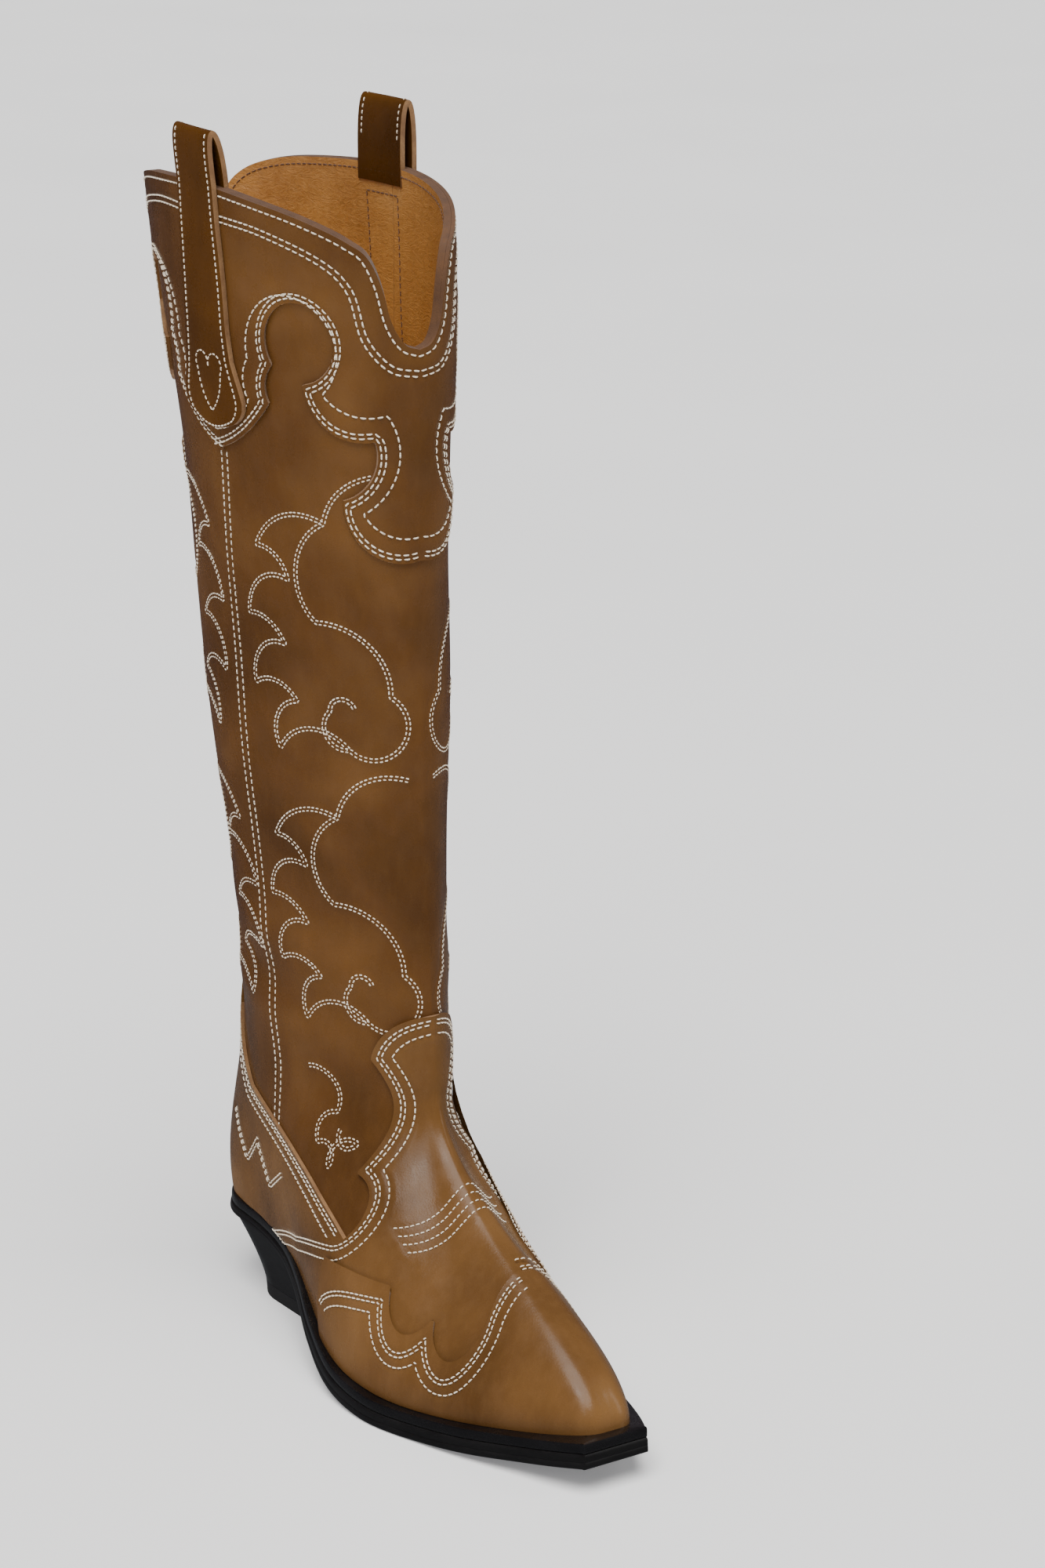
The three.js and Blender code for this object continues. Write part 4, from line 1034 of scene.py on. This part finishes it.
welt_low = lambda y: seat_z(y) - WELT_T
outsole_high = lambda y: welt_low(y) - 0.15
ease = lambda k: k * k * (3 - 2 * k)
outsole_thick = lambda y: OUTSOLE_T + (3.5 - OUTSOLE_T) * ease(np.clip((y + 50) / 55, 0, 1))
outsole_low = lambda y: np.maximum(0, outsole_high(y) - outsole_thick(y))


def between(k):
    return lambda y: outsole_low(y) + (outsole_high(y) - outsole_low(y)) * k


profile = [(1.4, 0.0), (0.35, 0.05), (0.0, 0.14), (0.0, 0.3), (0.1, 0.46), (0.3, 0.5), (0.14, 0.54),
           (0.3, 0.8), (0.45, 0.92), (0.9, 1.0)]
outsole = stack_solid("outsole_leather", [with_height(sole_ring(i), between(k)) for i, k in profile],
                      [SOLE_EDGE, SOLE_FACE], 0, 1)
place(outsole, "outsole_black", "outsole")

weltings = [(1.1, 0.0), (0.75, 0.1), (0.7, 0.4), (0.8, 0.8), (1.1, 0.94), (1.9, 1.0), (12, 1.0)]
welt_at = lambda k: (lambda y: welt_low(y) + WELT_T * k)
welt = stack_solid("welt_leather", [with_height(sole_ring(i), welt_at(k)) for i, k in weltings], [WELT_BLACK])
place(welt, "outsole_black", "welt")


def heel_ring(level, z):
    """Plan of the heel at one level: hollow breast in front, round back, tapering down and forward."""
    pull = level**1.5
    y_front = HEEL_BREAST_Y + (2 - HEEL_BREAST_Y) * level
    y_back = 60 + (83.5 - 60) * pull
    half = 25 + (29.3 - 25) * pull
    side_y = np.linspace(y_front, y_back - half, 24)
    angles = np.radians(np.linspace(3, 90, 30))
    w = np.concatenate([np.full(24, half), half * np.cos(angles)])
    y = np.concatenate([side_y, y_back - half + half * np.sin(angles)])
    across = np.linspace(-half, half, 17)[1:-1]
    hollow = y_front + 3.2 * (1 - (across / half) ** 2)
    left = np.stack([HEEL_X - w, y], 1)
    right = np.stack([HEEL_X + w, y], 1)[::-1]
    breast = np.stack([HEEL_X + across[::-1], hollow], 1)
    ring = np.concatenate([left[:-1], right, breast])
    return np.column_stack([ring, z(ring[:, 1]) if callable(z) else np.full(len(ring), z)])


def heel_solid(name, levels, material):
    rings = [heel_ring(level, z) for level, z in levels]
    n = len(rings[0])
    points = np.concatenate([*rings, [rings[0].mean(0)], [rings[-1].mean(0)]])
    faces = grid_faces(len(rings), n, wrap=True)
    low, high = len(points) - 2, len(points) - 1
    for i in range(n):
        k = (i + 1) % n
        faces.append([low, i, k])
        faces.append([high, (len(rings) - 1) * n + k, (len(rings) - 1) * n + i])
    return face_outwards(new_object(name, points, faces, [material]), sharp=42)


heel_high = lambda y: outsole_low(y) - 0.1
heel_from = TOP_LIFT_T + 0.15
lift_mix = lambda k: (lambda y: heel_from + (heel_high(y) - heel_from) * k)
heel = heel_solid("heel_stack", [(0.1 + 0.9 * k, lift_mix(k)) for k in np.linspace(0, 1, 22)], HEEL_BLACK)
place(heel, "heel_black", "heel_block")
lift = heel_solid("heel_top_lift_rubber",
                  [(-0.03, 0.0), (0.0, 0.5), (0.05, 3.0), (0.09, 5.5), (0.08, TOP_LIFT_T)], RUBBER)
place(lift, "rubber_black", "heel_top_lift")


# ---------------------------------------------------------------- pull straps
STRAP_TILT = 3.4                      # outward lean of the loop's crown
TAB_GAP = 0.25                        # clearance between the tab and the leather under it
LOOP_RISE = {1: 26.2, -1: 31.0}       # height of the outer and the inner loop over the wall
# height and the two edges of the outer tab, from its round end up
TAB = np.array([
    [396.3, 14, 15.5], [397.2, 7, 22], [399, 0.5, 29.5], [402, -4.2, 34.5], [405.5, -6.6, 36.6],
    [409, -7, 37], [413, -6, 36], [418, -4, 34], [425, -1.5, 32.3], [437, 0, 31], [455, 0.5, 31],
    [480, 2, 32], [600, 2, 32],
])
ACROSS = np.linspace(0, 1, 25)


def wall_at(y, z, side):
    """Surface place and outward normal of the shaft wall where it has this y and z."""
    degs = np.linspace(50, 125, 226)
    ring = shaft_point(z[:, None], side * degs[None, :])
    deg = np.array([np.interp(a, row, degs) for a, row in zip(y, ring[..., 1])])
    p = shaft_point(z, side * deg)
    q = shaft_point(z, side * (deg + 0.5))
    t = q - p
    n = np.stack([t[:, 1], -t[:, 0], 0 * t[:, 0]], 1)
    n /= np.linalg.norm(n, axis=1, keepdims=True)
    n[n[:, 0] * -side < 0] *= -1
    return p, n


def on_tab(y, z, side):
    """A row on the middle of the tab's thickness, with its outward normals."""
    p, n = wall_at(y, z, side)
    return p + n * (OVERLAY + TAB_GAP + STRAP_T / 2), n


def strap_rows(side):
    rows = []
    round_end = [396.3, 396.7, 397.3, 398.2, 399.6, 401.2, 403.4, 406, 409]
    for z in np.concatenate([round_end, np.arange(412, 489, 3.2)]):
        lo, hi = np.interp(z, TAB[:, 0], TAB[:, 1]), np.interp(z, TAB[:, 0], TAB[:, 2])
        y = lo + (hi - lo) * ACROSS
        rows.append(on_tab(y, np.full_like(y, z), side)[0])
    y = 2 + 30 * ACROSS
    out_x = rows[-1][:, 0]
    p, n = wall_at(y, np.full_like(y, 488.0), side)
    in_x = (p - n * (LEATHER + 0.9))[:, 0]
    centre, reach = (out_x + in_x) / 2, (out_x - in_x) / 2
    rise = LOOP_RISE[side]
    for phi in np.radians(np.linspace(6, 174, 31)):
        bulge = reach * np.cos(phi) * (1 + 0.25 * math.sin(phi))
        tilt = -STRAP_TILT * math.sin(phi) if side > 0 else 0
        z = 490 + rise * math.sin(phi) ** 0.75
        rows.append(np.column_stack([centre + bulge + tilt, y, np.full_like(y, z)]))
    rows.append(np.column_stack([in_x, y, np.full_like(y, 487.0)]))
    return np.array(rows)


for one_side, name, node in ((1, "pull_strap_outer_leather", "pull_strap_outer"),
                             (-1, "pull_strap_inner_leather", "pull_strap_inner")):
    centreline = strap_rows(one_side)
    strap = new_object(name, centreline.reshape(-1, 3), grid_faces(*centreline.shape[:2]), [CALF_STRAP, EDGE])
    thick = strap.modifiers.new("thickness", "SOLIDIFY")
    thick.thickness = STRAP_T * MM
    thick.offset = 0
    thick.material_offset_rim = 1
    soften = strap.modifiers.new("soften", "BEVEL")
    soften.width = 0.45 * MM
    soften.segments = 2
    soften.limit_method = "ANGLE"
    soften.material = 1
    place(strap, "leather_strap", node)
    rows_on_strap = []
    up = np.gradient(centreline, axis=0)
    turn = np.gradient(centreline, axis=1)
    face = np.cross(up, turn)
    face /= np.linalg.norm(face, axis=-1, keepdims=True)
    if face[5, 12, 0] * -one_side < 0:
        face = -face
    for column in (2, 22):
        rows_on_strap.append((centreline[5:-4, column], face[5:-4, column]))
    dip = 4.5 * (1 - np.linspace(-1, 1, 21) ** 2)
    y_low = centreline[5, 2:23, 1]
    rows_on_strap.append(on_tab(y_low, centreline[5, 2:23, 2] - dip, one_side))
    heart = arcs(STRAP_HEART, 0.6)
    rows_on_strap.append(on_tab(heart[:, 0] + 0.5, heart[:, 1], one_side))
    stitch(name.replace("leather", "stitching"), rows_on_strap, CREAM, pitch=2.5, dash=1.9, radius=0.33,
           offset=STRAP_T / 2 + 0.05)


# ---------------------------------------------------------------- CAD nodes that stay, with real finishes
INSIDE = {
    "cork_filler": plain_textured("cork_grain", srgb(120, 78, 44), srgb(190, 142, 92), 520),
    "steel_shank": plain_textured("shank_steel", srgb(120, 122, 126), srgb(180, 182, 186), 900,
                                  rough=0.35, metal=1.0, depth=0.05),
    "insole_board": plain_textured("insole_board_fibre", srgb(140, 116, 84), srgb(176, 150, 112), 700),
    "sock_lining": LINING_SKIN, "vamp_lining": LINING_SKIN, "heel_lining": LINING_SKIN,
    "heel_stiffener": plain_textured("stiffener_fibre", srgb(196, 180, 148), srgb(216, 204, 176), 800),
}
for node_name, node_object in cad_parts.items():
    material = INSIDE.get(node_name)
    if material is None and ("nail" in node_name or "screw" in node_name or "rivet" in node_name):
        material = INSIDE["steel_shank"]
    if material and not node_object.hide_render:
        node_object.data.materials.clear()
        node_object.data.materials.append(material)

cad_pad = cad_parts["heel_pad"]
heel_pad = new_object("heel_pad_foam", [cad_pad.matrix_world @ v.co / MM for v in cad_pad.data.vertices],
                      [list(poly.vertices) for poly in cad_pad.data.polygons],
                      [plain_textured("heel_pad_foam", srgb(206, 194, 176), srgb(228, 220, 206), 1300)])
pad_edge = heel_pad.modifiers.new("soft_edge", "BEVEL")
pad_edge.width = 0.6 * MM
pad_edge.segments = 3
pad_edge.limit_method = "ANGLE"
place(heel_pad, "foam", "heel_pad")

# ---------------------------------------------------------------- floor, light and camera
floor_maker = Nodes("floor_pale")
floor_maker.set(Base_Color=srgb(246, 245, 243), Roughness=floor_maker.grey(floor_maker.noise(3, 2), 0.5, 0.6),
                Emission_Color=srgb(246, 246, 248), Emission_Strength=0.22)
floor = new_object("floor", [[-20000, -20000, -0.05], [20000, -20000, -0.05], [20000, 20000, -0.05],
                             [-20000, 20000, -0.05]], [[0, 1, 2, 3]], [floor_maker.material])
floor.visible_glossy = False

world = bpy.data.worlds.new("studio")
bpy.context.scene.world = world
world.use_nodes = True
world.node_tree.nodes["Background"].inputs["Color"].default_value = (0.82, 0.84, 0.9, 1)
world.node_tree.nodes["Background"].inputs["Strength"].default_value = 0.2

sun = bpy.data.objects.new("overhead", bpy.data.lights.new("overhead", "SUN"))
sun.data.energy = 4.4
sun.data.angle = math.radians(50)
sun.rotation_euler = (math.radians(18), math.radians(-14), 0)
bpy.context.scene.collection.objects.link(sun)


def softbox(name, where, aim, size, watts, colour):
    light = bpy.data.lights.new(name, "AREA")
    light.shape = "RECTANGLE"
    light.size, light.size_y = size
    light.energy = watts
    light.color = colour
    obj = bpy.data.objects.new(name, light)
    obj.location = where
    obj.rotation_euler = (Vector(aim) - Vector(where)).to_track_quat("-Z", "Y").to_euler()
    bpy.context.scene.collection.objects.link(obj)


# A dark studio flag behind the boot: only mirror reflections see it, and it keeps the glossy sides deep
flag_maker = Nodes("flag_cloth")
flag_maker.set(Base_Color=(0.055, 0.042, 0.05, 1),
               Roughness=flag_maker.grey(flag_maker.noise(40), 0.85, 0.95))
flag = new_object("flag", [[-1100, 200, 0], [-240, 420, 0], [260, 420, 0], [900, 250, 0], [-1100, 200, 900],
                           [-240, 420, 900], [260, 420, 900], [900, 250, 900]],
                  [[0, 1, 5, 4], [1, 2, 6, 5], [2, 3, 7, 6]], [flag_maker.material])
flag.visible_camera = False
flag.visible_diffuse = False
flag.visible_shadow = False

softbox("key", (-1.6, -1.3, 2.0), (0, 0, 0.25), (0.5, 1.6), 13, (1, 0.98, 0.95))
softbox("window", (-2.0, 1.2, 1.0), (0, 0.03, 0.3), (0.7, 1.8), 6, (0.9, 0.84, 1.0))
softbox("fill", (1.8, -1.4, 1.2), (0, -0.05, 0.2), (0.5, 1.6), 9, (1, 0.98, 0.96))

camera = bpy.data.objects.new("camera", bpy.data.cameras.new("camera"))
bpy.context.scene.collection.objects.link(camera)
camera.location = (-0.9403, -1.5365, 0.789)
camera.rotation_euler = (math.radians(73.04), 0, math.radians(-33.69))
camera.data.sensor_width = 36
camera.data.lens = 103.78
camera.data.clip_end = 200
bpy.context.scene.camera = camera
